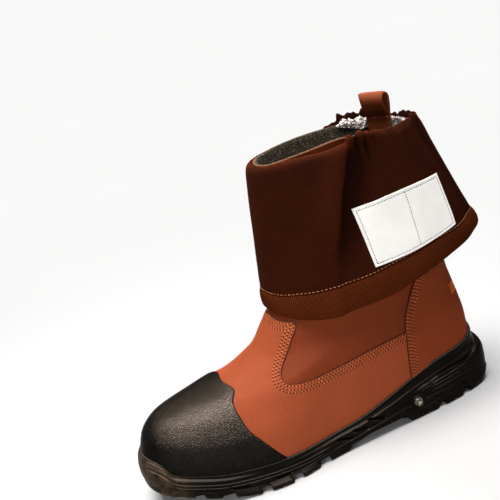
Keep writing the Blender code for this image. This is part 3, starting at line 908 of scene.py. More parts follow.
def step_in(path, distance):
    """The edge moved into its panel, over the surface, by a distance."""
    line = path.copy()
    steps = max(1, int(math.ceil(distance / 0.8)))
    small = 0.001
    for _ in range(steps):
        turn, reach = line[:, 0], line[:, 1]
        by_turn = (last(turn + small, reach) - last(turn - small, reach)) / (2 * small)
        by_reach = (last(turn, reach + small) - last(turn, reach - small)) / (2 * small)
        way = unit(np.gradient(last(turn, reach), axis=0))
        side = np.cross(outward(turn, reach), way) * (distance / steps)
        aa = (by_turn * by_turn).sum(-1)
        bb = (by_reach * by_reach).sum(-1)
        ab = (by_turn * by_reach).sum(-1)
        sa = (side * by_turn).sum(-1)
        sb = (side * by_reach).sum(-1)
        det = np.maximum(aa * bb - ab * ab, 1e-6)
        line = line + np.stack([(sa * bb - sb * ab) / det, (sb * aa - sa * ab) / det], -1)
        line[1:-1] = 0.6 * line[1:-1] + 0.2 * (line[:-2] + line[2:])
        line[:, 1] = np.clip(line[:, 1], 0.004, 0.99)
    return line


EDGE_ROWS = (0.0, 0.10, 0.3, 0.6, 1.0, 1.5, 2.0, 2.5, 3.2, 3.9, 4.6, 5.3, 5.9, 6.5, 7.2, 7.9, 8.8, 10.5)
HELD_ROWS = 4
SEAM_ENDS = 8


def panel_height(distance, lift, rows):
    """Rounded cut edge, pulled down a little along each row of stitches."""
    height = lift * np.sqrt(np.maximum(1 - (1 - np.minimum(distance, 1.0)) ** 2, 0.0))
    for row in rows:
        height = height - 0.34 * bump_at(distance, row, 0.75)
    if rows:
        height = height + 0.22 * bump_at(distance, 0.5 * (rows[0] + rows[-1]), 4.2)
    return height


def lift_at(lift, places):
    """Height of a panel over the leather at places of turn and reach: one number, or a function of them."""
    return lift(places[..., 0], places[..., 1]) if callable(lift) else np.full(places.shape[:-1], lift)


def unfold(grid, held):
    """Irons out the places where a panel's rows cross at a tight corner; rows next to the edge are held."""
    for _ in range(400):
        along = np.diff(grid[:-1], axis=1)
        up = np.diff(grid[:, :-1], axis=0)
        turned = along[..., 0] * up[..., 1] - along[..., 1] * up[..., 0]
        crossed = turned * np.sign(np.median(turned)) < 0.03 * np.abs(np.median(turned))
        if not crossed.any():
            break
        near = np.zeros(grid.shape[:2], bool)
        for r, c in np.argwhere(crossed):
            near[max(r - 2, 0):r + 4, max(c - 3, 0):c + 5] = True
        near = near[1:-held, 1:-1, None]
        below = grid[:-held - 1, 1:-1]
        above = grid[2:len(grid) - held + 1, 1:-1]
        mean = (below + above + grid[1:-held, :-2] + grid[1:-held, 2:]) / 4
        grid[1:-held, 1:-1] = np.where(near, mean, grid[1:-held, 1:-1])
    return grid


def from_edge(points, edge):
    """Distance of each point of a panel from its free edge, found a row and half an edge at a time."""
    line = last(edge[:, 0], edge[:, 1])
    found = np.full(points.shape[:2], np.inf)
    half = len(line) // 2
    for r in range(len(points)):
        for a, b in ((0, half + 1), (half - 1, len(line))):
            start, way = line[a:b - 1], np.diff(line[a:b], axis=0)
            gap = points[r][:, None] - start[None]
            t = np.clip((gap * way[None]).sum(-1) / (way * way).sum(-1)[None], 0, 1)
            off = np.linalg.norm(gap - t[..., None] * way[None], axis=-1)
            found[r] = np.minimum(found[r], off.min(axis=1))
    return found


def lay_panel(name, edge, base, lift, rows, under, finish, body_rows):
    """Leather panel from its foot under the sole up to its free edge; returns the piece."""
    rim_rows = [step_in(edge, d) for d in EDGE_ROWS]
    shares = np.linspace(0.0, 1.0, body_rows, endpoint=False)
    body = [base + (rim_rows[-1] - base) * s for s in shares]
    grid = unfold(np.array(body + rim_rows[::-1]), HELD_ROWS)
    turn, reach = grid[..., 0], grid[..., 1]
    inset = from_edge(last(turn, reach), edge)
    inset[-HELD_ROWS:] = np.array(EDGE_ROWS[HELD_ROWS - 1::-1])[:, None]
    height = panel_height(inset, lift_at(lift, grid), rows)
    outer = skin(turn, reach, np.maximum(height, under + 0.02))
    inner = skin(turn, reach, under)
    piece = shell(name, outer, inner, finish)
    if rows:
        dye_and_shade_cut_edge(piece, *outer.shape[:2])
    return piece


def dye_and_shade_cut_edge(piece, rows, cols):
    """The cut edge of a panel is painted dark on its rounded face and its side: partly real edge dye, partly
    painted shadow of the step where the panel lies over the leather.
    """
    top = (rows - 1) * (cols - 1)
    index = np.zeros(len(piece.data.polygons), np.int32)
    index[top - 3 * (cols - 1):top] = 1
    side = 2 * top + (cols - 1) + (rows - 1)
    index[side:side + cols - 1] = 1
    piece.data.materials.append(CUT_EDGE_DYE_AND_SHADE)
    piece.data.polygons.foreach_set("material_index", index)


def seam_on_panel(edge, row, lift):
    """Path of one stitch row on a panel, with the skin's direction along it."""
    line = step_in(edge, row)[SEAM_ENDS:-SEAM_ENDS]
    height = panel_height(np.full(len(line), row), lift_at(lift, line), STITCH_ROWS) + 0.05
    return skin(line[:, 0], line[:, 1], height), outward(line[:, 0], line[:, 1])


def counter_lift(turn, reach):
    """The counter rides up over the vamp's end that lies under its front edge."""
    near_front = 1 - ease((folded(turn) - 0.350) / 0.022)
    over_vamp = 1 - ease((reach - 0.262) / 0.05)
    return COUNTER_LIFT + 1.25 * near_front * over_vamp


# Finishes used by the pieces
# The shaft and counter wear darker copies of the vamp's tan leather: painted shade, under the cuff and on the
# sides turned from the light
SHADED_SHAFT_LEATHER = tan_leather("shaft_leather_painted_shade", (0.160, 0.0332, 0.0126), (0.147, 0.0297, 0.0108))
VAMP_LEATHER = tan_leather("vamp_leather", (0.260, 0.0585, 0.0240), (0.240, 0.0518, 0.0204))
SHADED_COUNTER_LEATHER = tan_leather("counter_leather_painted_shade", (0.206, 0.0414, 0.0150), (0.189, 0.0367, 0.0128))
STRAP_LEATHER = tan_leather("strap_leather", (0.262, 0.065, 0.0225), (0.190, 0.044, 0.014))
BINDING = tan_leather("collar_binding", (0.34, 0.13, 0.06), (0.24, 0.080, 0.034))
SOLE_TONES = (0.0029, 0.0023, 0.0017), (0.0056, 0.0045, 0.0034)
SOLE_BLACK = moulded_rubber("sole_black", *SOLE_TONES, (0.34, 0.46))
MIDSOLE_BLACK = moulded_rubber("midsole_black", *SOLE_TONES, (0.28, 0.38))
CAP_BLACK = pebbled_rubber()
CUFF_TWILL = woven("cuff_twill", (0.047, 0.0094, 0.0028), (0.018, 0.0035, 0.0009),
                   pitch=0.0013, slant=38.0, sheen=0.01)
HEM_TWILL = woven("hem_twill", (0.096, 0.0196, 0.0048), (0.036, 0.0073, 0.0015),
                  pitch=0.0016, slant=4.0, sheen=0.02)
FLEECE = fleece_cloth()
FELT = felt_cloth()
SEAM_THREAD = waxed_thread("seam_thread", (0.46, 0.125, 0.034), (0.27, 0.060, 0.017))
HEM_THREAD = waxed_thread("hem_thread", (0.44, 0.175, 0.072), (0.24, 0.085, 0.034))
LABEL_THREAD = waxed_thread("label_thread", (0.060, 0.048, 0.044), (0.016, 0.013, 0.012))
TACK_THREAD = waxed_thread("tack_thread", (0.85, 0.22, 0.02), (0.62, 0.12, 0.01))
# dark discs over the needle holes: painted shade in the holes
NEEDLE_HOLE_SHADE = needle_dark("needle_hole_painted_shade", (0.008, 0.003, 0.002), (0.024, 0.007, 0.004))
# lighter rubber along the top of the sole's lip: a painted highlight line
LIP_HIGHLIGHT = needle_dark("rubber_lip_painted_highlight", (0.016, 0.014, 0.012), (0.070, 0.060, 0.050))
# dark cut edges: partly edge dye, partly painted shadow along the panel's step
CUT_EDGE_DYE_AND_SHADE = needle_dark("cut_leather_edge_dye_and_shade", (0.030, 0.0080, 0.0035), (0.060, 0.0150, 0.0060))
LABEL = label_cloth()
FILM = membrane_film()
BADGE = badge_metal()


# Pieces of the upper

PANEL_UNDER = 0.06
BINDING_RADIUS = 0.5
BINDING_RISE = 0.45

# Lining rolled over the collar: depth and rise of its outer side, then of its underside
COLLAR_ROLL = (
    (-LINING_DEPTH, 0.2, -1.45, 0.25), (-2.0, 0.8, -1.2, 0.30), (-1.3, 1.1, -0.8, 0.32),
    (-0.6, 1.0, -0.4, 0.30), (-0.1, 0.6, -0.1, 0.22),
)

# Insole from its edge inwards: share of the way to the middle, and lift
INSOLE_RINGS = ((0.0, 0.0), (0.0, 3.4), (0.02, 3.9), (0.06, 3.9), (0.2, 3.2), (0.45, 2.8), (0.75, 2.6))


def make_upper_leather():
    """Foot and shaft in one skin, folded over at the collar."""
    around = 300
    turn = even_turns(around, 0.3)
    reach = np.concatenate([np.linspace(0.012, 0.985, 118), [0.992, 0.997, 1.0]])
    rings = [skin(turn, v, 0.0) for v in reach]
    for depth, rise in ((0.25, 0.10), (0.75, 0.14), (1.25, 0.10), (LEATHER_THICK, 0.0)):
        rings.append(skin(turn, 1.0, -depth) + rise * UP)
    rings += [skin(turn, v, -LEATHER_THICK) for v in np.linspace(0.98, 0.012, 24)]
    return new_piece("upper_leather", np.concatenate(rings), hoop_faces(len(rings), around), SHADED_SHAFT_LEATHER)


def make_lining():
    """Napped lining inside the leather, from the insole up and over the collar's edge."""
    around = 220
    turn = even_turns(around, 0.8)
    reach = np.concatenate([np.linspace(0.014, 0.60, 40), np.linspace(0.615, 0.992, 46)])
    rng = np.random.default_rng(SEED)
    nap = softened(rng.normal(0.0, 0.16, (len(reach), around)))
    inner = skin(turn[None], reach[:, None], nap - LINING_DEPTH)
    outer = skin(turn[None], reach[:, None], -LEATHER_THICK - 0.08)
    over = np.array([skin(turn, 1.0, depth) + rise * UP for depth, rise, _, _ in COLLAR_ROLL])
    under = np.array([skin(turn, 1.0, depth) + rise * UP for _, _, depth, rise in COLLAR_ROLL])
    napped = np.concatenate([inner, over])
    return shell("fleece_lining", napped, np.concatenate([outer, under]), FLEECE, wrap=True)


def make_collar_binding():
    path = skin(even_turns(260, 1.0), 1.0, 0.0) + BINDING_RISE * UP
    return hoop_along("collar_binding", path, BINDING_RADIUS, 8, BINDING)


def make_panels():
    """Vamp, counter and toe cap, with the seams that hold them."""
    vamp_edge = both_sides(path_through(VAMP_EDGE, 200), 0.0)
    counter_edge = both_sides(path_through(COUNTER_EDGE, 120), 0.5)
    cap_edge = both_sides(path_through(CAP_EDGE, 110), 0.0)

    def foot_of(edge, reach):
        turn = np.linspace(edge[0, 0], edge[-1, 0], len(edge))
        return np.stack([turn, np.full(len(edge), reach)], -1)

    vamp = lay_panel("vamp", vamp_edge, foot_of(vamp_edge, 0.012), VAMP_LIFT, STITCH_ROWS,
                     PANEL_UNDER, VAMP_LEATHER, body_rows=52)
    counter = lay_panel("heel_counter", counter_edge, foot_of(counter_edge, 0.012), counter_lift, STITCH_ROWS,
                        PANEL_UNDER, SHADED_COUNTER_LEATHER, body_rows=44)
    cap = lay_panel("toe_cap_cover", cap_edge, foot_of(cap_edge, 0.010), CAP_LIFT, (),
                    CAP_UNDER, CAP_BLACK, body_rows=70)
    seams = []
    for edge, lift in ((vamp_edge, VAMP_LIFT), (counter_edge, counter_lift)):
        seams += [seam_on_panel(edge, row, lift) for row in STITCH_ROWS]
    return vamp, counter, cap, seams


def make_insole():
    """Felt board that closes the foot, a little dished."""
    turn = even_turns(180, 0.0)
    feather = last(turn, 0.0)
    foot = feather - (WALL + 0.6) * outward(turn, 0.0)
    foot = foot - 0.6 * plan_outward(foot)
    middle = foot.copy()
    middle[:, 1] = foot[:, 1].mean()
    rings = [at_height(foot + (middle - foot) * share, feather[:, 2] + lift) for share, lift in INSOLE_RINGS]
    return ring_body("felt_insole", rings, FELT)


# Sole

RIM_GROOVE = np.array([
    (0.000, 7.2), (0.050, 6.2), (0.090, 5.7), (0.130, 6.2), (0.200, 6.0), (0.260, 6.6), (0.310, 9.0),
    (0.360, 11.5), (0.430, 12.6), (0.500, 12.6),
])
SLOT_COLUMNS = "turn length depth slant rise".split()
SLOTS = np.array([
    (0.1460, 14.0, 2.4, 0.00, 1.7), (0.1895, 11.0, 2.4, 0.00, 1.7), (0.2545, 11.0, 3.2, 0.42, 3.2),
    (0.2720, 10.5, 3.2, 0.42, 3.8), (0.2905, 12.0, 3.2, 0.42, 5.0),
])
WALL_SHAPE = np.array([
    (0.00, 0.93), (0.20, 0.98), (0.42, 0.95), (0.62, 0.83), (0.80, 0.64), (0.92, 0.50), (1.00, 0.44),
])
WALL_RINGS = 60
LIP_RINGS = ((0.97, 0.5), (0.86, 0.9), (0.70, 1.1), (0.52, 1.05), (0.36, 0.75))
LIP_LEAST = 3.3
JOINT_GAP = 0.15
JOINT_CHAMFER = 0.35
HEEL_BULGE = 3.2
TURN_LENGTH = 720.0

# Tread: its side set back from the widest line, and the rings from the ground up to the joint
TREAD_SIDE = np.array([
    (0.0, 2.4), (0.05, 1.4), (0.15, 0.7), (0.35, 0.25), (0.60, 0.0), (0.90, 0.0), (1.0, 0.2),
])
TREAD_RINGS = (
    0.0, 0.04, 0.09, 0.15, 0.24, 0.34, 0.43, 0.50, 0.55, 0.60, 0.65, 0.70, 0.76, 0.83, 0.90, 0.96, 1.0,
)
HEEL_CHANNEL = ((18, 1), (35, -2), (52, 3), (70, -1), (82, 1))
BALL_CHANNEL = ((152, -2), (166, 4), (182, -7), (198, 3), (214, -9), (231, 0), (246, -9), (262, -5))
CUT_REACH = 80.0
CUT_BELOW = -6.0
WELD = 0.05


def sole_plan():
    turn = even_turns(620, 0.03)
    reach = rim_reach(turn)
    rim = last(turn, reach)
    return turn, reach, rim, plan_outward(rim), rim_value(turn, "spread")


def joint_height(rim, out, spread):
    """Height of the joint between midsole and tread under each place of the rim."""
    return sole_value((rim + 0.9 * spread[:, None] * out)[:, 0], "joint")


def heel_back(turn):
    """One round the back of the heel, falling to nothing at its sides."""
    return ease((folded(turn) - 0.425) / 0.055)


def at_height(ring, height):
    ring = ring.copy()
    ring[:, 2] = height
    return ring


def wall_relief(turn, below, above_joint):
    """Grooves, slots and ridges moulded into the side wall; below is the depth under the rim."""
    side = folded(turn)
    groove = read_table(RIM_GROOVE, side)
    heel = ease((side - 0.38) / 0.06)
    toe = 1 - ease((side - 0.050) / 0.020)
    waist = ease((side - 0.215) / 0.03) * (1 - ease((side - 0.33) / 0.03))
    back = heel_back(turn)
    rim_line = plateau(below - groove, 0.55 + 0.35 * heel, 0.9)
    relief = -(1.5 + 0.9 * heel - back) * (1 - 0.85 * waist) * rim_line
    relief = relief + (0.5 + 0.7 * heel - 1.2 * back) * plateau(below - groove + 2.5, 0.9 + heel, 1.8)
    relief = relief - 1.5 * back * ease((below - 1.0) / 4.0) * (1 - ease((below - groove + 2.0) / 5.0))
    relief = relief + HEEL_BULGE * back * ease((below - groove + 1.5) / 7.0)
    second_line = plateau(below - groove - 3.2, 0.35, 0.7)
    relief = relief - 0.9 * (1 - heel) * (1 - toe) * (1 - waist) * second_line
    relief = relief - 0.9 * heel * (1 - 0.6 * back) * plateau(below - groove - 5.0, 0.5, 0.9)
    relief = relief + 1.1 * toe * ease((below - 0.4) / 1.0)
    swoop = ease((side - 0.347) / 0.02) * (1 - ease((side - 0.425) / 0.03))
    for rise in (3.6, 7.0, 10.4, 13.8):
        relief = relief + 0.9 * swoop * plateau(above_joint - rise - 26.0 * (side - 0.36), 0.7, 1.2)
    for row in SLOTS:
        size = dict(zip(SLOT_COLUMNS, row))
        along = (side - size["turn"]) * TURN_LENGTH
        level = above_joint - size["rise"] + size["slant"] * along
        long_way = plateau(along, size["length"] / 2, 1.2)
        relief = relief - size["depth"] * long_way * plateau(level, 1.15, 0.7)
    return relief


def make_midsole():
    """Cup from the joint up its outer wall, over the lip and down inside to the feather line; the lip's top
    carries a painted highlight.
    """
    turn, reach, rim, out, spread = sole_plan()
    around = len(turn)
    joint = joint_height(rim, out, spread) + JOINT_GAP
    fall = rim[:, 2] - joint
    rings = []
    for share in np.linspace(0.0, 1.0, WALL_RINGS):
        offset = read_table(WALL_SHAPE, share) * spread
        offset = np.maximum(offset, LIP_LEAST - 1.6 * (1 - share))
        offset = offset + wall_relief(turn, (1 - share) * fall, share * fall)
        if share == 0.0:
            offset = offset - JOINT_CHAMFER
        rings.append(at_height(rim + offset[:, None] * out, joint + share * fall))
    lip = np.maximum(0.44 * spread, LIP_LEAST)
    skin_height = np.where(folded(turn) < 0.205, CAP_LIFT, VAMP_LIFT)
    for part, rise in LIP_RINGS:
        offset = np.maximum(lip * part, skin_height * 0.5)
        rings.append(at_height(rim + offset[:, None] * out, rim[:, 2] + rise))
    rings.append(at_height(rim + 0.5 * out, rim[:, 2] - 0.4))
    for part in (0.75, 0.35, 0.0):
        wall = last(turn, reach * part)
        rings.append(wall + 0.25 * plan_outward(wall))
    rings.append(at_height(rings[-1], rings[-1][:, 2] - 0.3))
    cup = dusted(ring_body("midsole_cup", rings, MIDSOLE_BLACK, sharp=50))
    cup.data.materials.append(LIP_HIGHLIGHT)
    paint = np.zeros(len(cup.data.polygons), np.int32)
    # the lip's top faces take the lighter finish: a painted highlight line
    paint[WALL_RINGS * around:(WALL_RINGS + 2) * around] = 1
    cup.data.polygons.foreach_set("material_index", paint)
    return cup


def dusted(piece):
    """Marks where a rubber piece is scuffed and dusty: the toe bumper and the edges near the ground."""
    spots = np.empty(len(piece.data.vertices) * 3, np.float32)
    piece.data.vertices.foreach_get("co", spots)
    x, _, z = (spots.reshape(-1, 3) / MM + HEEL_TO_ORIGIN).T
    bumper = 0.75 * ease((x - 276.0) / 24.0)
    mark_points(piece, "dust", bumper + 0.22 * (1 - ease((z - sole_value(x, "ground")) / 5.0)))
    return piece


def cutter(name, points, faces):
    mesh = bpy.data.meshes.new(name)
    mesh.from_pydata(to_frame(points).tolist(), [], faces)
    return placed(name, mesh)


def cross_cutter(name, row):
    """Groove across the sole with chamfered lips, bent forward at both ends."""
    size = dict(zip(GROOVE_COLUMNS, row))
    ground = float(sole_value(size["x"], "ground"))
    stations = (CUT_REACH, 45.0, 0.0, -45.0, -CUT_REACH)
    points = []
    for y in stations:
        out = abs(y) / 45.0
        wide = size["width"] / 2 * (1 + 0.42 * out)
        deep = size["depth"] + (0.9 * out if size["width"] > 2 else 0.0) + 0.02
        middle = size["x"] + size["slant"] * abs(y)
        profile = ((-wide - 3.0, CUT_BELOW), (-wide - 0.9, ground), (-wide, ground + 1.0),
                   (-wide + 0.3, deep), (wide - 0.3, deep),
                   (wide, ground + 1.0), (wide + 0.9, ground), (wide + 3.0, CUT_BELOW))
        points += [(middle + x, y, z) for x, z in profile]
    return cutter(name, points, bar_faces(len(stations), len(profile)))


def arch_cutter():
    ends = [(ARCH[0, 0] - 1.0, CUT_BELOW)], [(ARCH[-1, 0] + 1.0, CUT_BELOW)]
    profile = ends[0] + [tuple(p) for p in ARCH] + ends[1]
    points = [(x, y, z) for y in (CUT_REACH, -CUT_REACH) for x, z in profile]
    return cutter("arch_cut", points, bar_faces(2, len(profile)))


def channel_cutter(name, spine, width, depth):
    """Channel that runs along the tread between the two sides of lugs."""
    spine = np.array(spine, float)
    points = []
    for (x, y), (sx, sy) in zip(spine, left_of(spine)):
        ground = float(sole_value(x, "ground"))
        profile = ((-0.9, CUT_BELOW), (-0.62, ground), (-0.5, ground + 0.9), (-0.45, ground + depth),
                   (0.45, ground + depth), (0.5, ground + 0.9), (0.62, ground), (0.9, CUT_BELOW))
        points += [(x + sx * part * width, y + sy * part * width, z) for part, z in profile]
    return cutter(name, points, bar_faces(len(spine), len(profile)))


def turned_out(body):
    """Recalculates a cutter's faces so that they point out."""
    work = bmesh.new()
    work.from_mesh(body.data)
    bmesh.ops.recalc_face_normals(work, faces=work.faces)
    work.to_mesh(body.data)
    work.free()
    return body


def welded(body):
    """Merges the near-double points that cuts leave and splits every face, so that no sliver stays."""
    work = bmesh.new()
    work.from_mesh(body.data)
    bmesh.ops.remove_doubles(work, verts=work.verts, dist=WELD * MM)
    bmesh.ops.dissolve_degenerate(work, edges=work.edges, dist=WELD * MM)
    bmesh.ops.triangulate(work, faces=work.faces)
    work.to_mesh(body.data)
    work.free()
    return body


def lug_relief(ring, share, height):
    """Side of the tread: blocks that stand out between the cross grooves, and a flare at the ball."""
    x, y = ring[:, 0], ring[:, 1]
    lean = x - 0.3 * height
    relief = np.zeros(len(ring))
    for row in GROOVES:
        size = dict(zip(GROOVE_COLUMNS, row))
        middle = size["x"] + size["slant"] * np.abs(y)
        gap = plateau(lean - middle, 0.72 * size["width"], 2.2)
        relief = relief - 1.8 * gap * (1 - ease((share - 0.80) / 0.18))
    flare = 2.6 * bump_at(x, 205.0, 36.0) * np.where(y > 0, 1.0, 0.5)
    relief = relief + flare * (1 - ease((share - 0.3) / 0.7))
    heel = 1 - ease((x - 84.0) / 6.0)
    return relief - 0.7 * plateau(share - 0.60, 0.05, 0.07) * heel


def make_outsole():
    """Tread body from its rings, with arch, grooves, sipes and channels cut out of it."""
    turn, _, rim, out, spread = sole_plan()
    wide = rim + spread[:, None] * out
    joint = joint_height(rim, out, spread) - JOINT_GAP
    ground = sole_value(wide[:, 0], "ground")
    tall = joint - ground
    rings = []
    for share in TREAD_RINGS:
        offset = spread - read_table(TREAD_SIDE, share) - 0.07 * spread * ease((share - 0.6) / 0.4)
        offset = offset + lug_relief(wide, share, share * tall)
        offset = offset + HEEL_BULGE * heel_back(turn) * (0.1 + 0.9 * ease(share / 0.85))
        ring = rim + (offset - (JOINT_CHAMFER if share == 1.0 else 0.0))[:, None] * out
        rings.append(at_height(ring, ground + share * tall if share else sole_value(ring[:, 0], "ground")))
    body = ring_body("outsole_blank", rings, SOLE_BLACK)
    tools = [arch_cutter()]
    tools += [cross_cutter("groove_%d" % i, row) for i, row in enumerate(GROOVES)]
    tools += [cross_cutter("sipe_%d" % i, row) for i, row in enumerate(SIPES)]
    tools.append(channel_cutter("heel_channel", HEEL_CHANNEL, width=7.0, depth=3.4))
    tools.append(channel_cutter("ball_channel", BALL_CHANNEL, width=6.0, depth=3.0))
    for tool in tools:
        cut = body.modifiers.new(tool.name, "BOOLEAN")
        cut.operation = "DIFFERENCE"
        cut.solver = "EXACT"
        cut.object = turned_out(tool)
    piece = welded(settled("outsole_tread", body))
    piece.data.shade_smooth()
    piece.data.set_sharp_from_angle(angle=math.radians(32))
    for tool in tools:
        bpy.data.objects.remove(tool, do_unlink=True)
    return dusted(piece)


# Cuff

# Ridge that runs down from the fold: step and turn
RIDGE = np.array([
    (2.0, 0.240), (3.0, 0.231), (3.9, 0.2135), (4.3, 0.201), (4.9, 0.184), (5.6, 0.168), (7.2, 0.160),
])

# Pleats at the fold: turn and height
PLEATS = (
    (0.2465, 2.6), (0.2535, -3.3), (0.2615, 3.2), (0.2700, -3.4), (0.2785, 2.6), (0.2865, -1.8),
    (0.299, 0.9), (0.318, -1.0), (0.336, 0.8),
)

# Slack waves of the hanging cloth: turn, width and height
SLACK_WAVES = (
    (0.085, 0.030, -1.2), (0.130, 0.022, 1.0), (0.36, 0.030, 1.2), (0.415, 0.022, -1.5),
    (0.455, 0.020, 1.2), (0.56, 0.030, -1.6), (0.61, 0.026, 1.8), (0.69, 0.040, -1.4),
    (0.76, 0.032, 1.6), (0.84, 0.036, -1.5), (0.91, 0.030, 1.0),
)

# Lengths of the cloth's map in metres: round the sleeve, down the sleeve, down the hem
MAP_ROUND = 0.42
MAP_SLEEVE = 0.115
MAP_HEM = 0.026
HEM_ROWS = np.array([
    0.0, 0.012, 0.03, 0.06, 0.12, 0.2, 0.3, 0.42, 0.54, 0.66, 0.76, 0.84, 0.9, 0.95, 0.98, 1.0,
])


def collar_out(turn):
    """Outward direction in plan along the collar's edge."""
    small = 0.002
    return plan_side(last(turn + small, 1.0) - last(turn - small, 1.0))


def cuff_ring(turn, row):
    size = dict(zip(CUFF_COLUMNS, row))
    angle = 2 * np.pi * turn
    along = (1 + np.cos(angle)) / 2
    half = size["half"] * oval(angle, CUFF_POWER)
    x = size["back_x"] + (size["front_x"] - size["back_x"]) * along
    z = size["back_z"] + (size["front_z"] - size["back_z"]) * along
    z = z - size["sag"] * 4 * along * (1 - along)
    return np.stack([x, np.sign(np.sin(angle)) * half, z], -1)


def cuff_rows(turn):
    """Guide rings of the cloth at each turn: sewn rows, crest and shoulder of the fold, hanging rings."""
    drop = read_table(FOLD_DROP, np.mod(turn, 1.0))
    collar = last(turn, 1.0)
    out = collar_out(turn)
    down = drop[..., None] * UP

    def sewn(reach, height):
        level = reach - drop / COLLAR_RISE_PER_REACH
        return last(turn, level) + height * outward(turn, level)

    crest = collar + 3.4 * out - 0.6 * UP - down
    shoulder = collar + 6.4 * out - 4.0 * UP - 0.8 * down
    rows = [sewn(0.955, 1.1), sewn(0.980, 1.4), crest, shoulder]
    rows += [cuff_ring(turn, row) for row in CUFF]
    tail = rows[-1] + (rows[-1] - rows[-2]) * np.array([0.15, 0.4, 1.0])
    return np.array(rows + [tail])


def cuff_middle(turn, step):
    """Point in the middle of the cloth before its folds; step counts guide rings from the seam."""
    turn, step = np.broadcast_arrays(np.asarray(turn, float), np.asarray(step, float))
    rows = cuff_rows(turn.ravel())
    slope = steady_slopes(np.diff(rows, axis=0))
    flat = np.clip(step.ravel(), 0, len(rows) - 1 - 1e-6)
    i = flat.astype(int)
    n = np.arange(len(flat))
    point = blended((flat - i)[:, None], 1.0, rows[i, n], rows[i + 1, n], slope[i, n], slope[i + 1, n])
    return point.reshape(turn.shape + (3,))


def cuff_way(turn, step):
    """Direction out of the cloth, away from the boot on the hanging part."""
    small = 0.003
    round_way = cuff_middle(turn + small, step) - cuff_middle(turn - small, step)
    down_way = cuff_middle(turn, step + 0.02) - cuff_middle(turn, np.maximum(step - 0.02, 0.0))
    return unit(np.cross(down_way, round_way))


def cuff_pleats(turn, step):
    """Short pleats where the slack of the fold is gathered on the outer side."""
    gather = ease((step - 1.55) / 0.4) * (1 - ease((step - 2.5) / 1.5))
    out = np.zeros(np.broadcast(turn, step).shape)
    for middle, high in PLEATS:
        out = out + gather * high * bump_at(turn, middle, 0.0050)
    return out


def cuff_folds(turn, step):
    """Gathers at the fold and the slack waves of the hanging cloth, in millimetres out."""
    turn = np.mod(turn, 1.0)
    hang = ease((step - 2.2) / 1.6)
    beside = turn - read_table(RIDGE, step)
    ridge_fade = ease((step - 1.9) / 0.6) * (1 - 0.75 * ease((step - 4.2) / 2.2))
    sunk = 0.8 + 4.4 * ease((step - 2.7) / 1.0)
    past = ease((beside + 0.002) / 0.013)
    ridge = 3.6 * bump_at(beside, 0.0, 0.036) * (1 - past)
    out = ridge_fade * (ridge - sunk * past * bump_at(beside, 0.010, 0.040))
    out = out + 2.6 * plateau(turn - 0.268, 0.024, 0.022) * bump_at(step, 2.45, 0.42)
    out = out + cuff_pleats(turn, step)
    lumps = 1.6 * np.sin(76 * np.pi * turn) + 1.2 * np.sin(122 * np.pi * turn + 1.0)
    back = plateau(turn - 0.480, 0.075, 0.05) + plateau(turn - 0.655, 0.065, 0.05)
    out = out + lumps * back * bump_at(step, 2.2, 0.75)
    wave = hang * (1 - 0.5 * ease((step - 6.0) / 1.0))
    for middle, width, high in SLACK_WAVES:
        lean = 0.010 * np.sin(1.3 * step + 40 * middle)
        out = out + wave * high * bump_at(turn + lean, middle, width)
    return out


def painted_fold_shading(turn, step):
    """Painted shade and light on the cloth: darker in the hollows of its folds and round the back, lighter
    along the crest of the fold and beside the ridge.
    """
    hollow = ease((-cuff_folds(turn, step) - 0.6) / 3.4) + ease((-cuff_pleats(turn, step) - 0.3) / 1.8)
    back = ease((turn - 0.30) / 0.14) * (1 - ease((turn - 0.62) / 0.12))
    front = ease((turn - 0.02) / 0.05) * (1 - ease((turn - 0.235) / 0.02))
    crest = bump_at(step, 2.35, 0.45) * (0.35 + 0.65 * front)
    beside = turn - np.interp(step, RIDGE[:, 0], RIDGE[:, 1])
    shoulder = bump_at(beside, -0.022, 0.022) * (1 - ease((step - 3.2) / 2.2))
    return np.clip(0.30 + 0.66 * hollow + 0.52 * back - 0.30 * crest - 0.14 * shoulder, 0.0, 1.0)


def cuff_at(turn, step, height):
    """Point at a height above the middle of the folded cloth."""
    way = cuff_way(turn, step)
    lift = np.asarray(height, float) + cuff_folds(turn, step)
    return cuff_middle(turn, step) + lift[..., None] * way


def cloth_map(piece, around, down):
    """Gives a round sleeve a map in metres: across and down the cloth."""
    cols = len(around)
    corners = corner_points(piece.data)
    u = around[corners % cols].reshape(-1, 4)
    whole = around[1] * cols
    u = np.where((u.max(axis=1, keepdims=True) - u) > whole / 2, u + whole, u).ravel()
    lay_cloth_map(piece.data, u, down[(corners // cols) % len(down)])


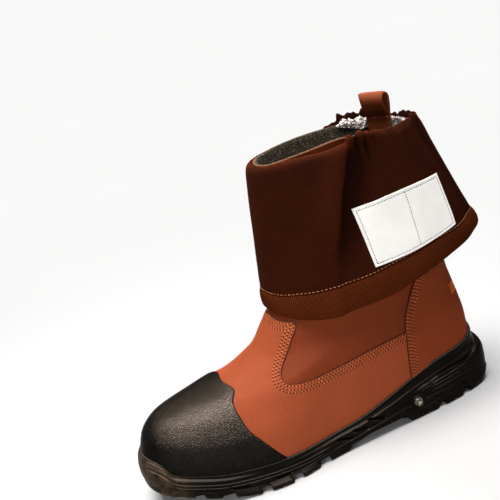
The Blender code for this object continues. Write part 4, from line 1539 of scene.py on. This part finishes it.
def make_cuff():
    """The sleeve from its seam over the fold down to the hem, then the hem as its own band."""
    around = 400
    turn = even_turns(around, 1.0)
    seam = read_table(HEM_SEAM, folded(turn))
    end = read_table(HEM_END, folded(turn))
    across = np.arange(around) / around * MAP_ROUND
    half = CUFF_THICK / 2

    share = np.concatenate([np.linspace(0.0, 0.30, 12, endpoint=False),
                            np.linspace(0.30, 0.62, 26, endpoint=False), np.linspace(0.62, 1.0, 50)])
    step = share[:, None] * (seam + 0.10)[None]
    turns = np.broadcast_to(turn[None], step.shape)
    puff = 0.3 * bump_at((seam[None] - 0.25) - step, 0.0, 0.22)
    sleeve = shell("cuff_sleeve", cuff_at(turns, step, half + puff), cuff_at(turns, step, -half), CUFF_TWILL,
                   wrap=True)
    cloth_map(sleeve, across, share * MAP_SLEEVE)
    # painted shade in the fold hollows and round the back, painted highlight along the crest
    mark_points(sleeve, "deep", np.tile(painted_fold_shading(turns, step).ravel(), 2))

    step = seam[None] + (end - seam)[None] * HEM_ROWS[:, None]
    turns = np.broadcast_to(turn[None], step.shape)
    round_off = np.sqrt(np.maximum(1 - ((HEM_ROWS - 0.5) / 0.5) ** 6, 0.0))[:, None]
    belly = (np.sin(np.pi * HEM_ROWS) ** 0.7)[:, None]
    outer = cuff_at(turns, step, half + 0.15 + (0.75 + belly) * round_off)
    hem = shell("cuff_hem", outer, cuff_at(turns, step, -half - round_off), HEM_TWILL, wrap=True)
    cloth_map(hem, across, HEM_ROWS * MAP_HEM)
    spot = np.mod(np.arange(len(hem.data.vertices)), around) / around
    # painted shade: the hem darker from the side round towards the back
    mark_points(hem, "deep", 0.30 + 0.25 * ease((spot - 0.28) / 0.12))
    return sleeve, hem, turn, seam


def cuff_seam(turn, step, height):
    """Closed stitch path round the cuff, with the cloth's direction along it."""
    path, way = cuff_at(turn, step, height), cuff_way(turn, step)
    return np.concatenate([path, path[:1]]), np.concatenate([way, way[:1]])


def make_label():
    """Blank white tape sewn to the outer side of the cuff."""
    rows, cols = 44, 70
    long, tall = LABEL_SIZE
    a, b, c, d = [np.array(k) for k in LABEL_CORNERS]
    down = np.linspace(0, 1, rows)[:, None, None]
    across = np.linspace(0, 1, cols)[None, :, None]
    place = (1 - down) * ((1 - across) * a + across * b) + down * ((1 - across) * d + across * c)
    down, across = down[..., 0], across[..., 0]
    place[..., 1] = place[..., 1] - 0.05 * np.sin(np.pi * across) * (1 - down)
    edge = np.minimum(np.minimum(across, 1 - across) * long, np.minimum(down, 1 - down) * tall)
    wave = 0.35 * np.sin(across * 9.0 + 1.0) * np.sin(down * 5.0) + 0.25 * bump_at(edge, 0.0, 1.2)
    height = CUFF_THICK / 2 + 0.55 + wave - 0.28 * bump_at(edge, LABEL_INSET, 0.8)
    outer = cuff_at(place[..., 0], place[..., 1], height + 0.28)
    inner = cuff_at(place[..., 0], place[..., 1], np.minimum(height - 0.15, CUFF_THICK / 2 + 0.15))
    label = shell("blank_label", outer, inner, LABEL)
    spot = corner_points(label.data) % (rows * cols)
    lay_cloth_map(label.data, (spot % cols) / cols * (long * MM), (spot // cols) / rows * (tall * MM))

    def line(points):
        """Stitch path through points given as shares of the label's length and height."""
        spots = np.array(points, float)
        count = len(spots) - 1
        q, r = spread_along(np.linspace(0, count, 60 * count + 1), np.arange(count + 1), spots).T
        q, r = q * (cols - 1), r * (rows - 1)
        q0 = np.clip(q.astype(int), 0, cols - 2)
        r0 = np.clip(r.astype(int), 0, rows - 2)
        fq = (q - q0)[:, None]
        fr = (r - r0)[:, None]

        def between(grid):
            return (grid[r0, q0] * (1 - fr) * (1 - fq) + grid[r0, q0 + 1] * (1 - fr) * fq
                    + grid[r0 + 1, q0] * fr * (1 - fq) + grid[r0 + 1, q0 + 1] * fr * fq)

        where = between(place)
        return between(outer), cuff_way(where[:, 0], where[:, 1])

    x, y = LABEL_INSET / long, LABEL_INSET / tall
    border = line([(x, y), (1 - x, y), (1 - x, 1 - y), (x, 1 - y), (x, y)])
    return label, [border, line([(0.52, y), (0.50, 1 - y)])]


# Collar details

FILM_COLUMNS = "turn below above".split()
FILM_SPAN = np.array([
    (0.470, 0.5, 0.3), (0.490, 5.0, 0.8), (0.520, 8.0, 1.2), (0.560, 7.0, 1.0), (0.600, 4.0, 1.0),
    (0.630, 5.0, 2.0), (0.650, 6.0, 3.2), (0.668, 4.8, 2.6), (0.682, 3.2, 4.2), (0.694, 1.6, 2.0),
    (0.704, 0.4, 0.3),
])
FILM_HALF = 0.12
BADGE_TURN = 0.3375
BADGE_HEIGHT = 16.4

# Turned profiles of the badge: radius and height
BADGE_RING = (
    (6.2, -1.5), (6.2, 0.45), (6.0, 0.85), (5.6, 1.05), (5.1, 1.0), (4.75, 0.7), (4.6, 0.1), (4.6, -1.5),
)
BADGE_DISC = (
    (3.9, -1.4), (3.9, 0.0), (3.7, 0.35), (3.2, 0.42), (2.95, 0.0), (2.45, 0.0), (2.2, 0.42), (1.5, 0.5),
    (1.25, 0.05), (0.6, 0.05),
)


def loop_path():
    """Middle line of the strap from one tucked end over the loop to the other: inwards and up."""
    arc = LOOP_OPEN / 2 + STRAP_THICK / 2
    top = LOOP_RISE - arc
    path = [(0.0, -LOOP_TAIL), (0.0, -LOOP_TAIL / 2), (0.0, 0.0), (0.0, top / 2)]
    path += [(arc * (1 - math.cos(a)), top + arc * math.sin(a)) for a in np.linspace(0, math.pi, 17)]
    path += [(arc * 1.34, top * 0.55), (arc * 0.66, top * 0.16)]
    path += [(STRAP_THICK + 1.0, -LOOP_TAIL / 2), (STRAP_THICK + 0.6, -LOOP_TAIL)]
    path = np.array(path)
    walk = walked(path)
    fine = np.linspace(0, walk[-1], 70)
    return np.stack([smooth_table(walk, column, fine) for column in path.T], -1)


def make_pull_loop():
    """Leather strap doubled into a loop, its ends tucked inside the collar."""
    dense = np.linspace(0, 1, 400, endpoint=False)
    walk = walked(last(dense, 1.0) - (WALL + STRAP_GAP) * outward(dense, 1.0))
    middle = np.interp(LOOP_TURN, dense, walk)
    cols = 15
    across = np.linspace(-0.5, 0.5, cols)
    path = loop_path()
    narrow = 0.80 + 0.20 * ease((path[:, 1] + 1.0) / (0.8 * LOOP_RISE))
    half = len(path) // 2
    sewn_at = half + int(np.argmin(np.abs(path[half:, 1] - 3.6)))
    thick = STRAP_THICK / 2 * np.sqrt(np.maximum(1 - (np.abs(across) / 0.5) ** 8, 0.02))
    outer = np.empty((len(path), cols, 3))
    inner = np.empty_like(outer)
    for i, ((a, b), (sa, sb)) in enumerate(zip(path, left_of(path))):
        spots = np.interp(middle + across * LOOP_WIDTH * narrow[i], walk, dense)
        normal = outward(spots, 1.0)
        base = last(spots, 1.0) - (WALL + STRAP_GAP + STRAP_THICK / 2) * normal
        inward = unit(at_height(-normal, 0.0))
        lean = LOOP_LEAN * max(-b, 0.0)
        for grid, sign in ((outer, 1.0), (inner, -1.0)):
            reach_in = a + lean + sign * sa * thick
            rise = b + sign * sb * thick
            grid[i] = base + inward * reach_in[:, None] + UP * rise[:, None]
        if i == sewn_at:
            seam = (base + inward * (a + lean + STRAP_THICK / 2 + 0.1) + UP * b)[1:-1]
            seam_way = np.repeat(inward[cols // 2][None], 40, 0)
    length = walked(seam)
    even = spread_along(np.linspace(0, length[-1], 40), length, seam)
    seams = [(even + rise * UP, seam_way) for rise in (0.0, 2.6)]
    return shell("pull_loop_strap", outer, inner, STRAP_LEATHER), seams


def make_film():
    """Crumpled film that shows between lining and fold round the back of the collar."""
    cols, rows = 190, 14
    turn = np.linspace(FILM_SPAN[0, 0], FILM_SPAN[-1, 0], cols)
    below, above = [read_table(FILM_SPAN, turn, FILM_COLUMNS.index(c))[None] for c in FILM_COLUMNS[1:]]
    rng = np.random.default_rng(SEED + 1)
    crumple = rng.normal(0.0, 1.0, (rows, cols))
    for _ in range(3):
        crumple = softened(crumple)
    share = np.linspace(0, 1, rows)[:, None]
    turns = np.broadcast_to(turn[None], (rows, cols))
    loose = np.clip((below + above) / 6.0, 0, 1)
    rise = -below + (below + above) * share + 1.2 * crumple * share * loose
    way_out = -3.5 + 5.0 * np.clip(rise / 6.0, 0, 1) ** 1.5
    way_out = way_out + 1.3 * crumple * loose * (1 - 0.3 * share) - 0.8 * (1 - share)
    middle = skin(turns, 1.0, 0.0) + UP * (rise + 1.0)[..., None]
    middle = middle + collar_out(turns) * np.minimum(way_out, 1.5)[..., None]
    normal = unit(np.cross(np.gradient(middle, axis=1), np.gradient(middle, axis=0)))
    return shell("membrane_edge", middle + FILM_HALF * normal, middle - FILM_HALF * normal, FILM)


def make_badge():
    """Plain round stud with a raised ring, set in the outer side of the heel."""
    small = 0.004
    turn = BADGE_TURN + small * np.array([-1.0, 0.0, 1.0])
    behind, rim, ahead = last(turn, rim_reach(turn))
    out = plan_side(ahead - behind)
    middle = rim + 1.03 * rim_value(BADGE_TURN, "spread") * out
    middle[2] = BADGE_HEIGHT
    along = np.array([-out[1], out[0], 0.0])
    sides = 40
    angle = np.arange(sides) / sides * 2 * np.pi
    spoke = along * np.cos(angle)[:, None] + UP * np.sin(angle)[:, None]

    def turned(name, profile, finish):
        rings = [middle + r * spoke + h * out for r, h in profile]
        faces = bar_faces(len(rings), sides)
        return turned_out(new_piece(name, np.concatenate(rings), faces, finish, sharp=40))

    return turned("badge_ring", BADGE_RING, SOLE_BLACK), turned("badge_disc", BADGE_DISC, BADGE)


def make_bar_tack(tree):
    """Short orange bar of close stitches at the back of the counter."""
    reach = np.linspace(0.322, 0.366, 40)
    seams = []
    for turn in np.linspace(0.4400, 0.4600, 4):
        seams.append((skin(turn, reach, COUNTER_LIFT + 0.15), outward(turn, reach)))
    return sew("bar_tack", tree, seams, TACK_THREAD, TACK_BEAD)


# Floor, light and camera

def make_floor():
    side = 40.0
    mesh = bpy.data.meshes.new("floor")
    corners = [(-side, -side, 0), (side, -side, 0), (side, side, 0), (-side, side, 0)]
    mesh.from_pydata(corners, [], [(0, 1, 2, 3)])
    mesh.materials.append(pale_paper())
    floor = placed("floor", mesh)


def aimed(place, target, roll=0.0):
    """Matrix that stands at a place and looks at a target, rolled about the view."""
    place = Vector(place)
    forward = (Vector(target) - place).normalized()
    right = forward.cross(Vector((0, 0, 1))).normalized()
    up = right.cross(forward)
    c, s = math.cos(math.radians(roll)), math.sin(math.radians(roll))
    right, up = c * right + s * up, c * up - s * right
    return Matrix(((right.x, up.x, -forward.x, place.x), (right.y, up.y, -forward.y, place.y),
                   (right.z, up.z, -forward.z, place.z), (0, 0, 0, 1)))


def add_light(name, place, target, wide, power, colour, spread=180.0):
    lamp = bpy.data.lights.new(name, "AREA")
    lamp.shape = "DISK"
    lamp.size = wide
    lamp.energy = power
    lamp.color = colour
    lamp.spread = math.radians(spread)
    held = placed(name, lamp)
    held.matrix_world = aimed(place, target)
    return held


def light_and_camera():
    scene = bpy.context.scene
    scene.view_settings.view_transform = "Standard"
    scene.view_settings.look = "None"
    world = bpy.data.worlds.new("studio")
    world.use_nodes = True
    sky = world.node_tree.nodes["Background"]
    sky.inputs["Color"].default_value = (1.0, 0.93, 0.85, 1.0)
    sky.inputs["Strength"].default_value = 0.08
    scene.world = world
    sun = bpy.data.lights.new("overhead_softbox", "SUN")
    sun.energy = 5.35
    sun.color = (1.0, 0.95, 0.88)
    sun.angle = math.radians(44)
    held = placed("overhead_softbox", sun)
    held.matrix_world = aimed((0.08, 0.10, 1.0), (0.0, 0.0, 0.0))
    add_light("back_softbox", (0.12, -0.70, 0.80), (0.10, 0.0, 0.06), wide=0.62, power=0.5,
              colour=(1.0, 0.96, 0.91), spread=50.0)
    sheen = add_light("sheen_softbox", (0.12, 0.28, 0.96), (0.12, 0.279, 0.0), wide=1.45, power=600.0,
                      colour=(1.0, 0.87, 0.78))
    sheen.data.shape = "RECTANGLE"
    sheen.data.size_y = 2.1
    sheen.visible_diffuse = False
    add_light("low_toe_fill", (0.30, 0.40, 0.15), (0.09, 0.04, 0.06), wide=0.30, power=0.20,
              colour=(1.0, 0.95, 0.88), spread=52.0)
    lens = bpy.data.cameras.new("camera")
    lens.lens = CAMERA_LENS
    lens.sensor_width = 36.0
    lens.clip_end = 200.0
    eye = placed("camera", lens)
    eye.matrix_world = aimed(CAMERA_STANDS, CAMERA_AIM, CAMERA_ROLL)
    scene.camera = eye


# Putting the boot together

def assemble():
    light_and_camera()
    make_floor()
    tree = stitch_tree()
    upper = make_upper_leather()
    lining = make_lining()
    binding = make_collar_binding()
    vamp, counter, cap, seams = make_panels()
    insole = make_insole()
    midsole = make_midsole()
    outsole = make_outsole()
    sleeve, hem, turn, seam_step = make_cuff()
    label, label_seams = make_label()
    loop, loop_seams = make_pull_loop()
    film = make_film()
    ring, disc = make_badge()
    tack = make_bar_tack(tree)
    pitch = SEAM_BEAD[0]
    threads = [trimmed_seam(*seam, pitch, 0.0) for seam in seams]
    holes = [trimmed_seam(*seam, pitch, pitch / 2) for seam in seams]
    upper_thread = sew("upper_stitches", tree, threads, SEAM_THREAD, SEAM_BEAD)
    upper_holes = sew("upper_needle_hole_shade", tree, holes, NEEDLE_HOLE_SHADE, HOLE_BEAD)
    hem_seam = cuff_seam(turn, seam_step - HEM_STITCH_ABOVE, CUFF_THICK / 2 + 0.45)
    hem_thread = sew("hem_stitches", tree, [trimmed_seam(*hem_seam, HEM_BEAD[0], 0.0)], HEM_THREAD, HEM_BEAD)
    borders = [trimmed_seam(*seam, LABEL_BEAD[0], 0.4) for seam in label_seams]
    label_thread = sew("label_stitches", tree, borders, LABEL_THREAD, LABEL_BEAD)
    loop_thread = sew("loop_stitches", tree, loop_seams, SEAM_THREAD, LOOP_BEAD)
    plan = (
        ("upper", "upper_leather", (upper, lining, binding, vamp, counter, upper_thread, upper_holes, tack)),
        ("toe_cap", "cap_rubber", (cap,)),
        ("insole", "insole_fabric", (insole,)),
        ("midsole", "midsole_rubber", (midsole, ring, disc)),
        ("outsole", "outsole_rubber", (outsole,)),
        ("cuff", "cuff_fabric", (sleeve, hem, label, hem_thread, label_thread, film)),
        ("pull_loop", "loop_leather", (loop, loop_thread)),
    )
    for cad_node, slot, pieces in plan:
        for piece in pieces:
            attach(piece, "root")
            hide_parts(cad_node)


assemble()
